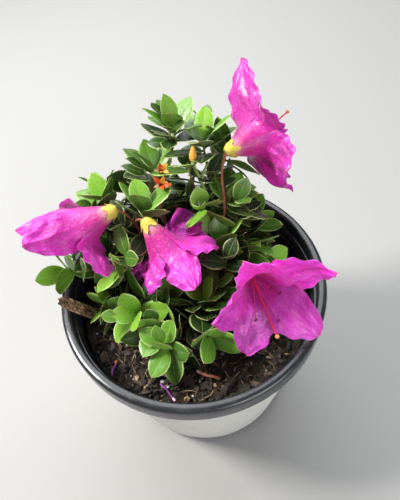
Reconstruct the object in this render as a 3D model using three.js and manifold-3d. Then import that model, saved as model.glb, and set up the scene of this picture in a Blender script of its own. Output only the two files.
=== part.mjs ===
// A dwarf rhododendron in bloom in a round nursery pot, in millimetres, +Z up.
// The origin is the centre of the pot's flat underside, and the photograph was taken from the -Y side.
// A seeded rule grows the plant: trunk, boughs, shoots with leaves set in a spiral, and four large blooms.
import * as THREE from "three";
import { mergeVertices } from "three/addons/utils/BufferGeometryUtils.js";
import Module from "manifold-3d";

const wasm = await Module();
wasm.setup();

const UP = new THREE.Vector3(0, 0, 1);
const SIDEWAYS = new THREE.Vector3(1, 0.3, 0.1);
const degrees = THREE.MathUtils.degToRad;

// Pot
const POT_HEIGHT = 105;
const RIM_RADIUS = 65;
const RIM_BAND = 10;
const RIM_INNER_RADIUS = 60.5;
const RIM_ROUND = 1.2;
const RIM_BEVEL = 0.3;
const LIP_THICKNESS = 1.4;
const WALL_THICKNESS = 1.4;
const WALL_TOP_RADIUS = 61.6;
const FOOT_RADIUS = 48.8;
const STEP_DEPTH = 7;
const STEP_WIDTH = 0.9;
const FLOOR_THICKNESS = 2;
const FOOT_ROUND = 1;
const FOOT_RING = 2;
const CHANNEL_WIDTH = 9;
const CHANNEL_HEIGHT = 4;
const POT_SIDES = 32;
const NOTCH_COUNT = 8;
const NOTCH_WIDTH = 8;
const NOTCH_HEIGHT = 3;
const NOTCH_DEPTH = 6;

// Plain label film round the wall
const WRAP_THICKNESS = 0.5;
const WRAP_TOP_GAP = 0.6;
const WRAP_FOOT_HEIGHT = 4;

// Compost
const SOIL_HEIGHT = 85;
const SOIL_RELIEF = 1.6;
const SOIL_RINGS = 5;
const SOIL_EDGE = 0.35;
// The bumps fade out between these two distances from the trunk
const SOIL_LEVEL = [8, 16];
const SOIL_SEED = 3;

// Gap that keeps two touching solids apart
const GAP = 0.3;
const CLEARANCE = 0.4;
const TINY = 1e-6;
const WELD = 1e-4;
const FUSE_TOLERANCE = 0.01;

// Plant
const SEED = 16;
const GOLDEN_ANGLE = THREE.MathUtils.degToRad(137.508);
const LEAF_LENGTH = 20;
const LEAF_WIDTH = 11;
const LEAF_THICKNESS = 0.6;
const LEAF_SAG = 0.14;
const LEAF_SHORTENING = 0.2;
const LEAF_FOLD = 0.16;
// Share of the leaf's length, and share of its width there
const LEAF_STATIONS = [
  [0.3, 0.92],
  [0.77, 0.88],
];
const LEAF_OPEN = [20, 76];
const LEAF_OPEN_POWER = 0.85;
const LEAF_OPEN_JITTER = degrees(6);
const LEAF_TURN_JITTER = degrees(9);
const LEAF_SIZE_JITTER = 0.08;
const LEAF_SMALLEST = 0.5;
const LEAF_GROWN = 3;
// Further turns, in degrees, that a leaf tries before it is left out
const LEAF_TRIES = [0, 22, -22, 44, -44];
const WHORL_FIRST = 0.4;
const WHORL_STEP = 0.55;
const WHORL_POWER = 1.3;
// Share of a shoot, from its tip down, that can carry leaves
const LEAF_REACH = 0.85;
const TWIG_RADIUS = 0.75;
const SHOOT_RADIUS = 0.66;
const SHOOT_TIP_RADIUS = 0.5;
const TWIG_SIDES = 3;
const TWIG_STEP = 7;
const STEM_OFFSET = 1.15;
const FORK_SHARE = 0.4;
const FORK_SINK = 0.6;
const FORK_OFFSET = 0.22;
const STALK_UPRIGHT = 0.5;
const TRUNK_FOOT = [0, 5];
const TRUNK_HEIGHT = 16;
const TRUNK_LEAN = [1, 2.5];
const TRUNK_FLARE_RADIUS = 4.6;
const TRUNK_RADIUS = 3.1;
const TRUNK_TOP_RADIUS = 2.4;
const FLARE_HEIGHT = 3;
const ROOT_RIDGE = 1.2;
const TRUNK_SIDES = 12;
const TRUNK_SHARES = [0, 0.08, 0.2, 0.6, 1];

// Bark chip, from its foot in the compost to its tip over the rim
const CHIP_FOOT = new THREE.Vector3(-50.8, -2, 84.4);
const CHIP_TIP = new THREE.Vector3(-61.4, -8.1, 112.6);
// Share of the chip's length, then its near side, its far side and its thickness there
const CHIP_STATIONS = [
  [0, -2.2, 2.4, 1.2],
  [0.3, -3.3, 3.1, 2],
  [0.65, -3.2, 3.3, 2.1],
  [0.88, -2.9, 3.2, 1.9],
  [1, -1.7, 0.7, 1],
];

// A place given as a compass angle about the pot's axis, a reach from it and a height above the compost.
function at(angle, reach, height) {
  const a = degrees(angle);
  return new THREE.Vector3(reach * Math.cos(a), reach * Math.sin(a), SOIL_HEIGHT + height);
}

// Boughs leave the trunk at a share of its height and end at a place given as angle, reach and height.
const BOUGH_RADIUS = 1.6;
const BOUGH_TIP_RADIUS = 1.5;
const BOUGH_SIDES = 6;
const BOUGH_STATIONS = 6;
const BOUGH_RISE = 0.35;
const BOUGH_GAP = 0.55;
const BOUGHS = [
  { name: "bough_back", from: 1, tip: [71, 31, 36], arrive: 0.9 },
  { name: "bough_right_upper", from: 0.86, tip: [47, 26, 33], arrive: 0.9 },
  { name: "bough_mid_left", from: 0.86, tip: [138, 28, 35], arrive: 1 },
  { name: "bough_back_left", from: 0.58, tip: [110, 33, 34], arrive: 0.9 },
  { name: "bough_left", from: 0.58, tip: [158, 32, 20], arrive: 0.6 },
  { name: "bough_right", from: 0.58, tip: [350, 16, 17], arrive: 0.9 },
  { name: "bough_back_low", from: 0.3, tip: [86, 30, 14], arrive: 0.5 },
  { name: "bough_low_left", from: 0.3, tip: [200, 22, 8], arrive: 0.4 },
  { name: "bough_front", from: 0.3, tip: [264, 14, 8], arrive: 0.5 },
];

// Each mass of foliage grows from a bough's tip, and each of its shoots ends at an angle, reach and height.
// A shoot leans outward by a share and starts its spiral of leaves at a turn in degrees.
// Its leaf is the size of its leaves as a share of the usual, where it has another size.
const MASSES = [
  {
    name: "foliage_top_left",
    bough: "bough_back_left",
    shoots: [
      { tip: [88, 52, 71], lean: 0.15, leaves: 9, turn: 127 },
    ],
  },
  {
    name: "foliage_top_middle",
    bough: "bough_back",
    shoots: [
      { tip: [73, 49, 66], lean: 0.3, leaves: 8, turn: 72 },
      { tip: [62, 54, 56], lean: 0.7, leaves: 6, turn: 0 },
    ],
  },
  {
    name: "foliage_bud",
    bough: "bough_back",
    shoots: [
      { tip: [81, 37, 62], lean: 0.2, leaves: 6, turn: 200 },
      { tip: [68, 25, 42], lean: 0, leaves: 8, turn: 100 },
    ],
  },
  {
    name: "foliage_back_left",
    bough: "bough_back_left",
    shoots: [
      { tip: [104, 46, 53], lean: 0.3, leaves: 9, turn: 107 },
      { tip: [114, 54, 40], lean: 0.9, leaves: 6, turn: 40 },
    ],
  },
  {
    name: "foliage_right_upper",
    bough: "bough_right_upper",
    shoots: [
      { tip: [49, 36, 45], lean: 0.3, leaves: 9, turn: 292, leaf: 0.8 },
      { tip: [58, 46, 34], lean: 0.8, leaves: 6, turn: 90, leaf: 0.85 },
    ],
  },
  {
    name: "foliage_left",
    bough: "bough_left",
    shoots: [
      { tip: [135, 53, 43], lean: 0.3, leaves: 9, turn: 100 },
      { tip: [120, 52, 30], lean: 0.9, leaves: 6, turn: 20 },
    ],
  },
  {
    name: "foliage_mid_left",
    bough: "bough_mid_left",
    shoots: [
      { tip: [127, 27, 50], lean: 0.2, leaves: 8, turn: 112 },
      { tip: [181, 31, 36], lean: 0.4, leaves: 7, turn: 120 },
    ],
  },
  {
    name: "foliage_far_left",
    bough: "bough_left",
    shoots: [
      { tip: [171, 61, 26], lean: 0.9, leaves: 8, turn: 132 },
      { tip: [158, 46, 19], lean: 0.9, leaves: 5, turn: 0 },
    ],
  },
  {
    name: "foliage_low_left",
    bough: "bough_low_left",
    shoots: [
      { tip: [188, 41, 16], lean: 0.7, leaves: 8, turn: 90, leaf: 0.85 },
      { tip: [209, 32, 19], lean: 0.4, leaves: 8, turn: 177, leaf: 0.9 },
    ],
  },
  {
    name: "foliage_front_left",
    bough: "bough_low_left",
    shoots: [
      { tip: [232, 29, 16], lean: 0.4, leaves: 9, turn: 110 },
      { tip: [215, 14, 17], lean: 0.1, leaves: 7, turn: 0 },
    ],
  },
  {
    name: "foliage_front",
    bough: "bough_front",
    shoots: [
      { tip: [246, 36, 14], lean: 0.4, leaves: 9, turn: 90, leaf: 0.92 },
      { tip: [238, 22, 13], lean: 0.2, leaves: 7, turn: 30 },
    ],
  },
  {
    name: "foliage_front_right",
    bough: "bough_front",
    shoots: [
      { tip: [281, 30, 14], lean: 0.4, leaves: 8, turn: 75 },
      { tip: [285, 14, 22], lean: 0.1, leaves: 8, turn: 10 },
    ],
  },
  {
    name: "foliage_middle",
    bough: "bough_right",
    shoots: [
      { tip: [34, 19, 30], lean: 0.1, leaves: 9, turn: 90 },
      { tip: [305, 16, 20], lean: 0.1, leaves: 7, turn: 30 },
      { tip: [14, 26, 19], lean: 0.3, leaves: 8, turn: 60 },
    ],
  },
  {
    name: "foliage_right",
    bough: "bough_right_upper",
    shoots: [
      { tip: [34, 43, 26], lean: 0.6, leaves: 8, turn: 307, leaf: 0.8 },
      { tip: [20, 33, 26], lean: 0.4, leaves: 8, turn: 140, leaf: 0.85 },
    ],
  },
  {
    name: "foliage_low_right",
    bough: "bough_right",
    shoots: [
      { tip: [8, 38, 18], lean: 0.7, leaves: 7, turn: 60 },
      { tip: [345, 30, 14], lean: 0.5, leaves: 6, turn: 240 },
    ],
  },
  {
    name: "foliage_back_low",
    bough: "bough_back_low",
    shoots: [
      { tip: [98, 48, 24], lean: 0.8, leaves: 8, turn: 0 },
      { tip: [122, 42, 18], lean: 0.8, leaves: 6, turn: 100 },
    ],
  },
  {
    name: "foliage_back_right",
    bough: "bough_back_low",
    shoots: [
      { tip: [66, 50, 26], lean: 0.8, leaves: 8, turn: 50 },
      { tip: [48, 50, 16], lean: 0.9, leaves: 6, turn: 150 },
      { tip: [54, 34, 21], lean: 0.3, leaves: 8, turn: 20 },
    ],
  },
];

// Sizes that every bloom shares
const OPENING = 8;
const TUBE_STATIONS = [0, 1];
const LOBE_STATIONS = [0.22, 0.48, 0.76, 1];
const LOBE_ACROSS = [-1, -0.4, 0.4, 1];
// The lobe's outline is this part of a half wave, raised to a power
const LOBE_SHAPE = [0.17, 0.97];
const LOBE_FULLNESS = 0.75;
const LOBE_RUFFLE = 0.9;
const RUFFLE_TURNS = 7;
const CALYX_SIDES = 6;
const CALYX_BACK = 1.2;
const CALYX_FRONT = 4.8;
const CALYX_RADII = [1.1, 3.5, 4.2];
const TUBE_LENGTH = 15;
const TUBE_BASE_RADIUS = 2;
const TUBE_FLARE = degrees(22);
const LOBE_LENGTH = 26;
const LOBE_WIDTH = 18.5;
const LOBE_THICKNESS = 0.7;
const LOBE_COUNT = 5;
const STYLE_LENGTH = 33;
const STYLE_RADII = [0.5, 0.5, 0.8];
// A lobe opens by its spread and then curls, both in degrees. Its length and width are shares of the usual.
// Its cup bows it from side to side, and its drift bends it sideways by a share of its length.
const BLOOMS = [
  {
    name: "bloom_left",
    bough: "bough_mid_left",
    calyx: [-29.3, 16.7, 143.4],
    axis: [-0.9, -0.02, -0.44],
    roll: 29,
    spreads: [19, 42, 5, 115, 59],
    curls: [-24, -29, -3, -29, 1],
    lengths: [1.23, 1.02, 1.04, 0.84, 1.06],
    widths: [1.03, 1.05, 0.97, 1.05, 0.98],
    drifts: [-0.18, -0.01, -0.05, 0.07, 0.05],
    cups: [0.68, 0.34, 0.97, 0.1, 0.43],
  },
  {
    name: "bloom_middle",
    bough: "bough_mid_left",
    calyx: [-16.1, 8.3, 142.9],
    axis: [0.42, -0.47, -0.77],
    roll: 15,
    spreads: [59, 59, 76, 103, 63],
    curls: [-11, -41, 16, 12, -63],
    lengths: [0.92, 0.66, 0.91, 1.02, 0.8],
    widths: [0.92, 1.04, 1.03, 1.1, 1.01],
    drifts: [0.09, 0.02, 0.03, 0.07, -0.08],
    cups: [0.64, 0.36, 0.58, 0.57, 0.1],
  },
  {
    name: "bloom_upper",
    bough: "bough_right_upper",
    calyx: [24.1, 34.5, 152.4],
    axis: [0.8, 0.57, -0.19],
    roll: 21,
    spreads: [118, 100, 72, 56, 75],
    curls: [22, 34, -47, -5, -20],
    lengths: [0.97, 0.89, 1.25, 0.98, 1.24],
    widths: [1.09, 1.12, 1.06, 1.02, 1.12],
    drifts: [0.03, -0.05, -0.3, 0.01, 0.18],
    cups: [0.68, 0.45, 0.54, 0.55, 0.21],
  },
  {
    name: "bloom_right",
    bough: "bough_right",
    calyx: [26.2, -10.3, 120],
    axis: [0.18, -0.9, 0.41],
    roll: 9,
    spreads: [53, 48, 76, 48, 69],
    curls: [1, 4, 3, 26, -52],
    lengths: [0.94, 0.95, 0.93, 1.05, 1.11],
    widths: [0.99, 1, 1.05, 1.1, 1.05],
    drifts: [0.19, 0.06, 0.02, -0.08, -0.1],
    cups: [0.55, 0.66, 0.31, 0.44, 0.1],
  },
];

// Colours, from the photograph
const COLOURS = {
  pot: [0x26272b, 0.35],
  wrap: [0xc9c5bd, 0.6],
  compost: [0x2b1d15, 0.95],
  bark: [0x5e4028, 0.9],
  wood: [0x6b4a33, 0.85],
  leaf: [0x5f9a2e, 0.55],
  petal: [0xd63bb4, 0.6],
};

function materialOf(kind) {
  const [color, roughness] = COLOURS[kind];
  return new THREE.MeshStandardMaterial({ color, roughness, metalness: 0 });
}

// The same whole-number arithmetic gives the same draws in any language.
function seededDraws(seed) {
  let state = seed >>> 0;
  return () => {
    state = (state + 0x6d2b79f5) >>> 0;
    let t = state;
    t = Math.imul(t ^ (t >>> 15), t | 1);
    t ^= t + Math.imul(t ^ (t >>> 7), t | 61);
    return ((t ^ (t >>> 14)) >>> 0) / 4294967296;
  };
}

const draw = seededDraws(SEED);
const bumps = seededDraws(SOIL_SEED);
const jitter = (size) => (2 * draw() - 1) * size;
const mix = (a, b, share) => a + (b - a) * share;

function smooth(value, low, high) {
  const t = Math.min(1, Math.max(0, (value - low) / (high - low)));
  return t * t * (3 - 2 * t);
}

// A closed mesh as a solid, for joining and cutting.
function solidOf(geometry) {
  const bare = geometry.index ? geometry.toNonIndexed() : geometry.clone();
  bare.deleteAttribute("normal");
  bare.deleteAttribute("uv");
  const merged = mergeVertices(bare, WELD);
  return new wasm.Manifold(
    new wasm.Mesh({
      numProp: 3,
      vertProperties: merged.attributes.position.array,
      triVerts: new Uint32Array(merged.index.array),
    }),
  );
}

function geometryOf(solid) {
  const mesh = solid.getMesh();
  return new THREE.BufferGeometry()
    .setAttribute("position", new THREE.BufferAttribute(mesh.vertProperties, mesh.numProp))
    .setIndex(new THREE.BufferAttribute(mesh.triVerts, 1));
}

function facesOf(vertices, triangles) {
  const geometry = new THREE.BufferGeometry();
  const numbers = vertices.flatMap((v) => v.toArray());
  geometry.setAttribute("position", new THREE.Float32BufferAttribute(numbers, 3));
  return geometry.setIndex(triangles.flat());
}

// A unit vector square to the direction, as close to the wish as that allows.
function squareTo(direction, wish) {
  const square = wish.clone().addScaledVector(direction, -wish.dot(direction));
  if (square.lengthSq() > TINY) return square.normalize();
  return squareTo(direction, SIDEWAYS);
}

// A closed limb along a curve, with a ring square to it at each radius, flat at its foot and its tip.
function limbGeometry(curve, radii, sides) {
  const vertices = [];
  const triangles = [];
  let across = SIDEWAYS;
  radii.forEach((radius, i) => {
    const share = i / (radii.length - 1);
    const along = curve.getTangentAt(share);
    across = squareTo(along, across);
    const other = new THREE.Vector3().crossVectors(along, across);
    for (let k = 0; k < sides; k++) {
      const a = (2 * Math.PI * k) / sides;
      const out = across.clone().multiplyScalar(Math.cos(a)).addScaledVector(other, Math.sin(a));
      vertices.push(curve.getPointAt(share).addScaledVector(out, radius));
    }
  });
  const last = (radii.length - 1) * sides;
  for (let i = 0; i < last; i += sides) {
    for (let k = 0; k < sides; k++) {
      const next = (k + 1) % sides;
      triangles.push([i + k, i + next, i + sides + next], [i + k, i + sides + next, i + sides + k]);
    }
  }
  for (let k = 1; k < sides - 1; k++) triangles.push([0, k + 1, k], [last, last + k, last + k + 1]);
  return facesOf(vertices, triangles);
}

function taper(start, end, count) {
  return Array.from({ length: count }, (_, i) => mix(start, end, i / (count - 1)));
}

// A curve that leaves along one direction and arrives along another.
function bend(start, leave, end, arrive) {
  const third = start.distanceTo(end) / 3;
  return new THREE.CubicBezierCurve3(
    start,
    start.clone().addScaledVector(leave, third),
    end.clone().addScaledVector(arrive, -third),
    end,
  );
}

// The pieces joined into one solid. A sliver that the joining cuts loose is left out.
function fused(pieces) {
  const whole = wasm.Manifold.union(pieces).asOriginal().simplify(FUSE_TOLERANCE);
  return whole.decompose().reduce((best, one) => (one.volume() > best.volume() ? one : best));
}

// Solids that already stand, so that whatever grows later keeps clear of them.
const standing = [];

function stand(owner, solid) {
  standing.push({ owner, solid, box: solid.boundingBox() });
  return solid;
}

function apart(a, b, reach) {
  return [0, 1, 2].some((i) => a.min[i] > b.max[i] + reach || b.min[i] > a.max[i] + reach);
}

function isClear(owner, solid) {
  const box = solid.boundingBox();
  return standing.every(
    (other) =>
      other.owner === owner ||
      apart(box, other.box, CLEARANCE) ||
      other.solid.minGap(solid, 2 * CLEARANCE) >= CLEARANCE,
  );
}

// Pot: a tapered wall, a rim with a hanging band, a ring inside the rim and a foot with a notched channel.
function wallRadius(height) {
  return mix(FOOT_RADIUS, WALL_TOP_RADIUS, height / (POT_HEIGHT - RIM_BAND));
}

function lathe(profile, sides) {
  const points = profile.map(([radius, height]) => new THREE.Vector2(radius, height));
  return new THREE.LatheGeometry(points, sides).rotateX(Math.PI / 2);
}

function potGeometry() {
  const bandFoot = POT_HEIGHT - RIM_BAND;
  const underRim = POT_HEIGHT - LIP_THICKNESS;
  const bandInner = RIM_RADIUS - LIP_THICKNESS;
  const step = POT_HEIGHT - STEP_DEPTH;
  const channelOuter = FOOT_RADIUS - FOOT_RING;
  const channelInner = channelOuter - CHANNEL_WIDTH;
  const floorTop = CHANNEL_HEIGHT + FLOOR_THICKNESS;
  const ring = RIM_INNER_RADIUS - STEP_WIDTH;
  const profile = [
    [0, 0],
    [channelInner, 0],
    [channelInner, CHANNEL_HEIGHT],
    [channelOuter, CHANNEL_HEIGHT],
    [channelOuter, 0],
    [FOOT_RADIUS - FOOT_ROUND, 0],
    [wallRadius(FOOT_ROUND), FOOT_ROUND],
    [wallRadius(underRim), underRim],
    [bandInner, underRim],
    [bandInner, bandFoot],
    [RIM_RADIUS, bandFoot],
    [RIM_RADIUS, POT_HEIGHT - RIM_ROUND],
    [RIM_RADIUS - RIM_ROUND * RIM_BEVEL, POT_HEIGHT - RIM_ROUND * RIM_BEVEL],
    [RIM_RADIUS - RIM_ROUND, POT_HEIGHT],
    [RIM_INNER_RADIUS + RIM_ROUND, POT_HEIGHT],
    [RIM_INNER_RADIUS, POT_HEIGHT - RIM_ROUND],
    [RIM_INNER_RADIUS, step],
    [ring, step],
    [innerRadius(SOIL_HEIGHT), SOIL_HEIGHT],
    [innerRadius(floorTop), floorTop],
    [0, floorTop],
  ];
  const notches = wasm.Manifold.union(Array.from({ length: NOTCH_COUNT }, (_, i) => notchSolid(i)));
  return geometryOf(solidOf(lathe(profile, POT_SIDES)).subtract(notches));
}

function innerRadius(height) {
  return wallRadius(height) - WALL_THICKNESS;
}

function notchSolid(i) {
  const notch = new THREE.BoxGeometry(NOTCH_DEPTH, NOTCH_WIDTH, 2 * NOTCH_HEIGHT);
  notch.translate(FOOT_RADIUS, 0, 0);
  return solidOf(notch.rotateZ((2 * Math.PI * (i + 0.5)) / NOTCH_COUNT));
}

// Label film: a thin sleeve round the wall, from just under the band to just above the foot.
function wrapGeometry() {
  const top = POT_HEIGHT - RIM_BAND - WRAP_TOP_GAP;
  const inside = (height) => wallRadius(height) + GAP;
  const profile = [
    [inside(WRAP_FOOT_HEIGHT), WRAP_FOOT_HEIGHT],
    [inside(WRAP_FOOT_HEIGHT) + WRAP_THICKNESS, WRAP_FOOT_HEIGHT],
    [inside(top) + WRAP_THICKNESS, top],
    [inside(top), top],
    [inside(WRAP_FOOT_HEIGHT), WRAP_FOOT_HEIGHT],
  ];
  return lathe(profile, POT_SIDES);
}

// Compost: a body that fills the pot, with a bumpy top that is level round the trunk's foot.
function soilGeometry() {
  const foot = CHANNEL_HEIGHT + FLOOR_THICKNESS + GAP;
  const edge = (height) => innerRadius(height) - GAP / Math.cos(Math.PI / POT_SIDES);
  const rings = [
    [edge(foot) / 2, foot],
    [edge(foot), foot],
    [edge(SOIL_HEIGHT - SOIL_RELIEF), SOIL_HEIGHT - SOIL_RELIEF],
  ];
  const bare = rings.length;
  for (let i = SOIL_RINGS; i > 0; i--) {
    rings.push([(edge(SOIL_HEIGHT) * (i - SOIL_EDGE)) / SOIL_RINGS, SOIL_HEIGHT - GAP]);
  }
  const vertices = [new THREE.Vector3(0, 0, foot)];
  const trunk = new THREE.Vector2(...TRUNK_FOOT);
  rings.forEach(([radius, height], i) => {
    for (let k = 0; k < POT_SIDES; k++) {
      const a = (2 * Math.PI * k) / POT_SIDES;
      const place = new THREE.Vector2(-Math.sin(a), Math.cos(a)).multiplyScalar(-radius);
      const bump = i < bare ? 0 : SOIL_RELIEF * bumps() * smooth(place.distanceTo(trunk), ...SOIL_LEVEL);
      vertices.push(new THREE.Vector3(place.x, place.y, height - bump));
    }
  });
  vertices.push(new THREE.Vector3(0, 0, SOIL_HEIGHT - GAP));
  const last = vertices.length - 1;
  const triangles = [];
  for (let k = 0; k < POT_SIDES; k++) {
    const next = (k + 1) % POT_SIDES;
    triangles.push([0, 1 + next, 1 + k]);
    for (let i = 0; i < rings.length - 1; i++) {
      const low = 1 + i * POT_SIDES;
      const high = low + POT_SIDES;
      triangles.push([low + k, low + next, high + next], [low + k, high + next, high + k]);
    }
    const top = last - POT_SIDES;
    triangles.push([top + k, top + next, last]);
  }
  return facesOf(vertices, triangles);
}

// Bark chip: a torn slab that leans from the compost over the rim.
function chipGeometry() {
  const up = CHIP_TIP.clone().sub(CHIP_FOOT).normalize();
  const across = squareTo(up, new THREE.Vector3(0, 1, 0));
  const out = new THREE.Vector3().crossVectors(up, across);
  const vertices = [];
  const triangles = [];
  CHIP_STATIONS.forEach(([share, near, far, thick], i) => {
    const middle = CHIP_FOOT.clone().lerp(CHIP_TIP, share);
    for (const [side, depth] of [[near, -0.5], [far, -0.5], [far, 0.5], [near, 0.5]]) {
      vertices.push(middle.clone().addScaledVector(across, side).addScaledVector(out, depth * thick));
    }
    if (i === 0) return;
    const low = (i - 1) * 4;
    for (let k = 0; k < 4; k++) {
      const next = (k + 1) % 4;
      triangles.push([low + k, low + next, low + 4 + next], [low + k, low + 4 + next, low + 4 + k]);
    }
  });
  const top = (CHIP_STATIONS.length - 1) * 4;
  triangles.push([0, 2, 1], [0, 3, 2], [top, top + 1, top + 2], [top, top + 2, top + 3]);
  return facesOf(vertices, triangles);
}

// Trunk: short and leaning, with its roots flaring out to a flat cut on the compost.
function trunkPoint(share) {
  const lean = share * share * (3 - 2 * share);
  return new THREE.Vector3(
    TRUNK_FOOT[0] + TRUNK_LEAN[0] * lean,
    TRUNK_FOOT[1] + TRUNK_LEAN[1] * lean,
    SOIL_HEIGHT + TRUNK_HEIGHT * share,
  );
}

function trunkRadius(share) {
  const flare = 1 - smooth(share * TRUNK_HEIGHT, 0, FLARE_HEIGHT);
  return mix(TRUNK_RADIUS, TRUNK_TOP_RADIUS, share) + (TRUNK_FLARE_RADIUS - TRUNK_RADIUS) * flare;
}

function trunkGeometry() {
  const vertices = [];
  const triangles = [];
  TRUNK_SHARES.forEach((share, i) => {
    const middle = trunkPoint(share);
    const flare = 1 - smooth(share * TRUNK_HEIGHT, 0, FLARE_HEIGHT);
    for (let k = 0; k < TRUNK_SIDES; k++) {
      const a = (2 * Math.PI * k) / TRUNK_SIDES;
      const radius = trunkRadius(share) + (k % 3 === 0 ? ROOT_RIDGE * flare : 0);
      vertices.push(middle.clone().add(new THREE.Vector3(radius * Math.cos(a), radius * Math.sin(a), 0)));
    }
    if (i === 0) return;
    const low = (i - 1) * TRUNK_SIDES;
    for (let k = 0; k < TRUNK_SIDES; k++) {
      const next = (k + 1) % TRUNK_SIDES;
      const high = low + TRUNK_SIDES;
      triangles.push([low + k, low + next, high + next], [low + k, high + next, high + k]);
    }
  });
  const top = (TRUNK_SHARES.length - 1) * TRUNK_SIDES;
  for (let k = 1; k < TRUNK_SIDES - 1; k++) triangles.push([0, k + 1, k], [top, top + k, top + k + 1]);
  return facesOf(vertices, triangles);
}

// Boughs: one leaves the trunk's flat top, the others leave its side.
function boughCurve(bough) {
  const end = at(...bough.tip);
  const outward = new THREE.Vector3(end.x - TRUNK_FOOT[0], end.y - TRUNK_FOOT[1], 0).normalize();
  const arrive = outward.clone().addScaledVector(UP, bough.arrive).normalize();
  if (bough.from === 1) {
    const start = trunkPoint(1).addScaledVector(UP, GAP);
    return bend(start, UP, end, arrive);
  }
  const leave = outward.clone().addScaledVector(UP, BOUGH_RISE).normalize();
  const reach = trunkRadius(bough.from) + BOUGH_GAP + BOUGH_RADIUS * leave.z;
  const start = trunkPoint(bough.from).addScaledVector(outward, reach);
  return bend(start, leave, end, arrive);
}

function boughGeometry(curve) {
  return limbGeometry(curve, taper(BOUGH_RADIUS, BOUGH_TIP_RADIUS, BOUGH_STATIONS), BOUGH_SIDES);
}

// The stems of a bough's tip start just past it, evenly round its axis and in the order that they head off.
function stemStart(bough, goal) {
  const { point, along, goals } = tips.get(bough);
  const middle = meanOf(goals);
  const across = squareTo(along, SIDEWAYS);
  const other = new THREE.Vector3().crossVectors(along, across);
  const heading = (one) => {
    const away = one.clone().sub(middle);
    return Math.atan2(away.dot(other), away.dot(across));
  };
  const spacing = (2 * Math.PI) / goals.length;
  const headings = goals.map(heading).sort((a, b) => a - b);
  const sum = (wave) => headings.reduce((total, one, i) => total + wave(one - i * spacing), 0);
  const turn = Math.atan2(sum(Math.sin), sum(Math.cos)) + headings.indexOf(heading(goal)) * spacing;
  return point
    .clone()
    .addScaledVector(along, GAP)
    .addScaledVector(across, STEM_OFFSET * Math.cos(turn))
    .addScaledVector(other, STEM_OFFSET * Math.sin(turn));
}

// Leaf: a thin blade, broadest past its middle, that curves down towards a pointed tip.
function leafGeometry(root, along, face, size) {
  const across = new THREE.Vector3().crossVectors(along, face);
  const place = (share, side, lift) => {
    const sag = LEAF_SAG * share * share;
    return root
      .clone()
      .addScaledVector(along, size * LEAF_LENGTH * (share - sag * LEAF_SHORTENING))
      .addScaledVector(face, size * (LEAF_LENGTH * -sag + lift))
      .addScaledVector(across, size * side);
  };
  const vertices = [root.clone()];
  for (const [share, width] of LEAF_STATIONS) {
    const half = (LEAF_WIDTH * width) / 2;
    vertices.push(place(share, -half, half * LEAF_FOLD), place(share, 0, -LEAF_THICKNESS));
    vertices.push(place(share, half, half * LEAF_FOLD));
  }
  const tip = vertices.push(place(1, 0, 0)) - 1;
  const triangles = [];
  for (let k = 0; k < 3; k++) {
    const next = (k + 1) % 3;
    triangles.push([0, 1 + k, 1 + next], [tip - 3 + next, tip - 3 + k, tip]);
    for (let low = 1; low < tip - 3; low += 3) {
      triangles.push([low + next, low + k, low + 3 + k], [low + next, low + 3 + k, low + 3 + next]);
    }
  }
  return facesOf(vertices, triangles);
}

// The leaves of a shoot, from its tip down: each turns by the golden angle and opens wider than the last.
function leafPlaces(curve, shoot) {
  const length = curve.getLength();
  const start = new THREE.Vector3(1, 0, 0);
  const whorl = (j) => WHORL_FIRST + WHORL_STEP * j ** WHORL_POWER;
  const fit = Math.min(1, (LEAF_REACH * length) / whorl(shoot.leaves - 1));
  return Array.from({ length: shoot.leaves }, (_, j) => {
    const share = 1 - (whorl(j) * fit) / length;
    const root = onTwig(curve, share);
    const axis = curve.getTangentAt(share);
    const across = squareTo(axis, start);
    const other = new THREE.Vector3().crossVectors(axis, across);
    const turn = degrees(shoot.turn) + GOLDEN_ANGLE * j + jitter(LEAF_TURN_JITTER);
    const opened = mix(LEAF_OPEN[0], LEAF_OPEN[1], (j / (shoot.leaves - 1)) ** LEAF_OPEN_POWER);
    const open = degrees(opened) + jitter(LEAF_OPEN_JITTER);
    const grown = mix(LEAF_SMALLEST, 1, Math.min(1, j / LEAF_GROWN)) * (shoot.leaf ?? 1);
    const size = grown * (1 + jitter(LEAF_SIZE_JITTER));
    return LEAF_TRIES.map((extra) => {
      const angle = turn + degrees(extra);
      const out = across.clone().multiplyScalar(Math.cos(angle)).addScaledVector(other, Math.sin(angle));
      const along = axis.clone().multiplyScalar(Math.cos(open)).addScaledVector(out, Math.sin(open));
      const face = axis.clone().multiplyScalar(Math.sin(open)).addScaledVector(out, -Math.cos(open));
      return leafGeometry(root, along, face, size);
    });
  });
}

// The twigs of a mass: one stem from the bough's tip to a fork, and a shoot from there to each tip.
function twigCurves(mass) {
  const ends = mass.shoots.map((shoot) => at(...shoot.tip));
  const middle = meanOf(ends);
  const start = stemStart(mass.bough, middle);
  const along = tips.get(mass.bough).along;
  const arrivals = mass.shoots.map((shoot, i) => {
    const outward = new THREE.Vector3(ends[i].x, ends[i].y, 0).normalize();
    return UP.clone().lerp(outward, shoot.lean).normalize();
  });
  if (ends.length === 1) return [bend(start, along, ends[0], arrivals[0])];
  const fork = start.clone().lerp(middle, FORK_SHARE);
  const onward = middle.clone().sub(start).normalize();
  const stem = bend(start, along, fork, onward);
  const sunk = (end) =>
    fork
      .clone()
      .addScaledVector(onward, -FORK_SINK)
      .addScaledVector(squareTo(onward, end.clone().sub(middle)), FORK_OFFSET);
  return [stem, ...ends.map((end, i) => bend(sunk(end), onward, end, arrivals[i]))];
}

function meanOf(points) {
  return points.reduce((sum, one) => sum.add(one), new THREE.Vector3()).divideScalar(points.length);
}

function twigStations(curve) {
  return Math.max(3, Math.ceil(curve.getLength() / TWIG_STEP));
}

function twigSolid(curve, startRadius, endRadius) {
  return solidOf(limbGeometry(curve, taper(startRadius, endRadius, twigStations(curve)), TWIG_SIDES));
}

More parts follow.
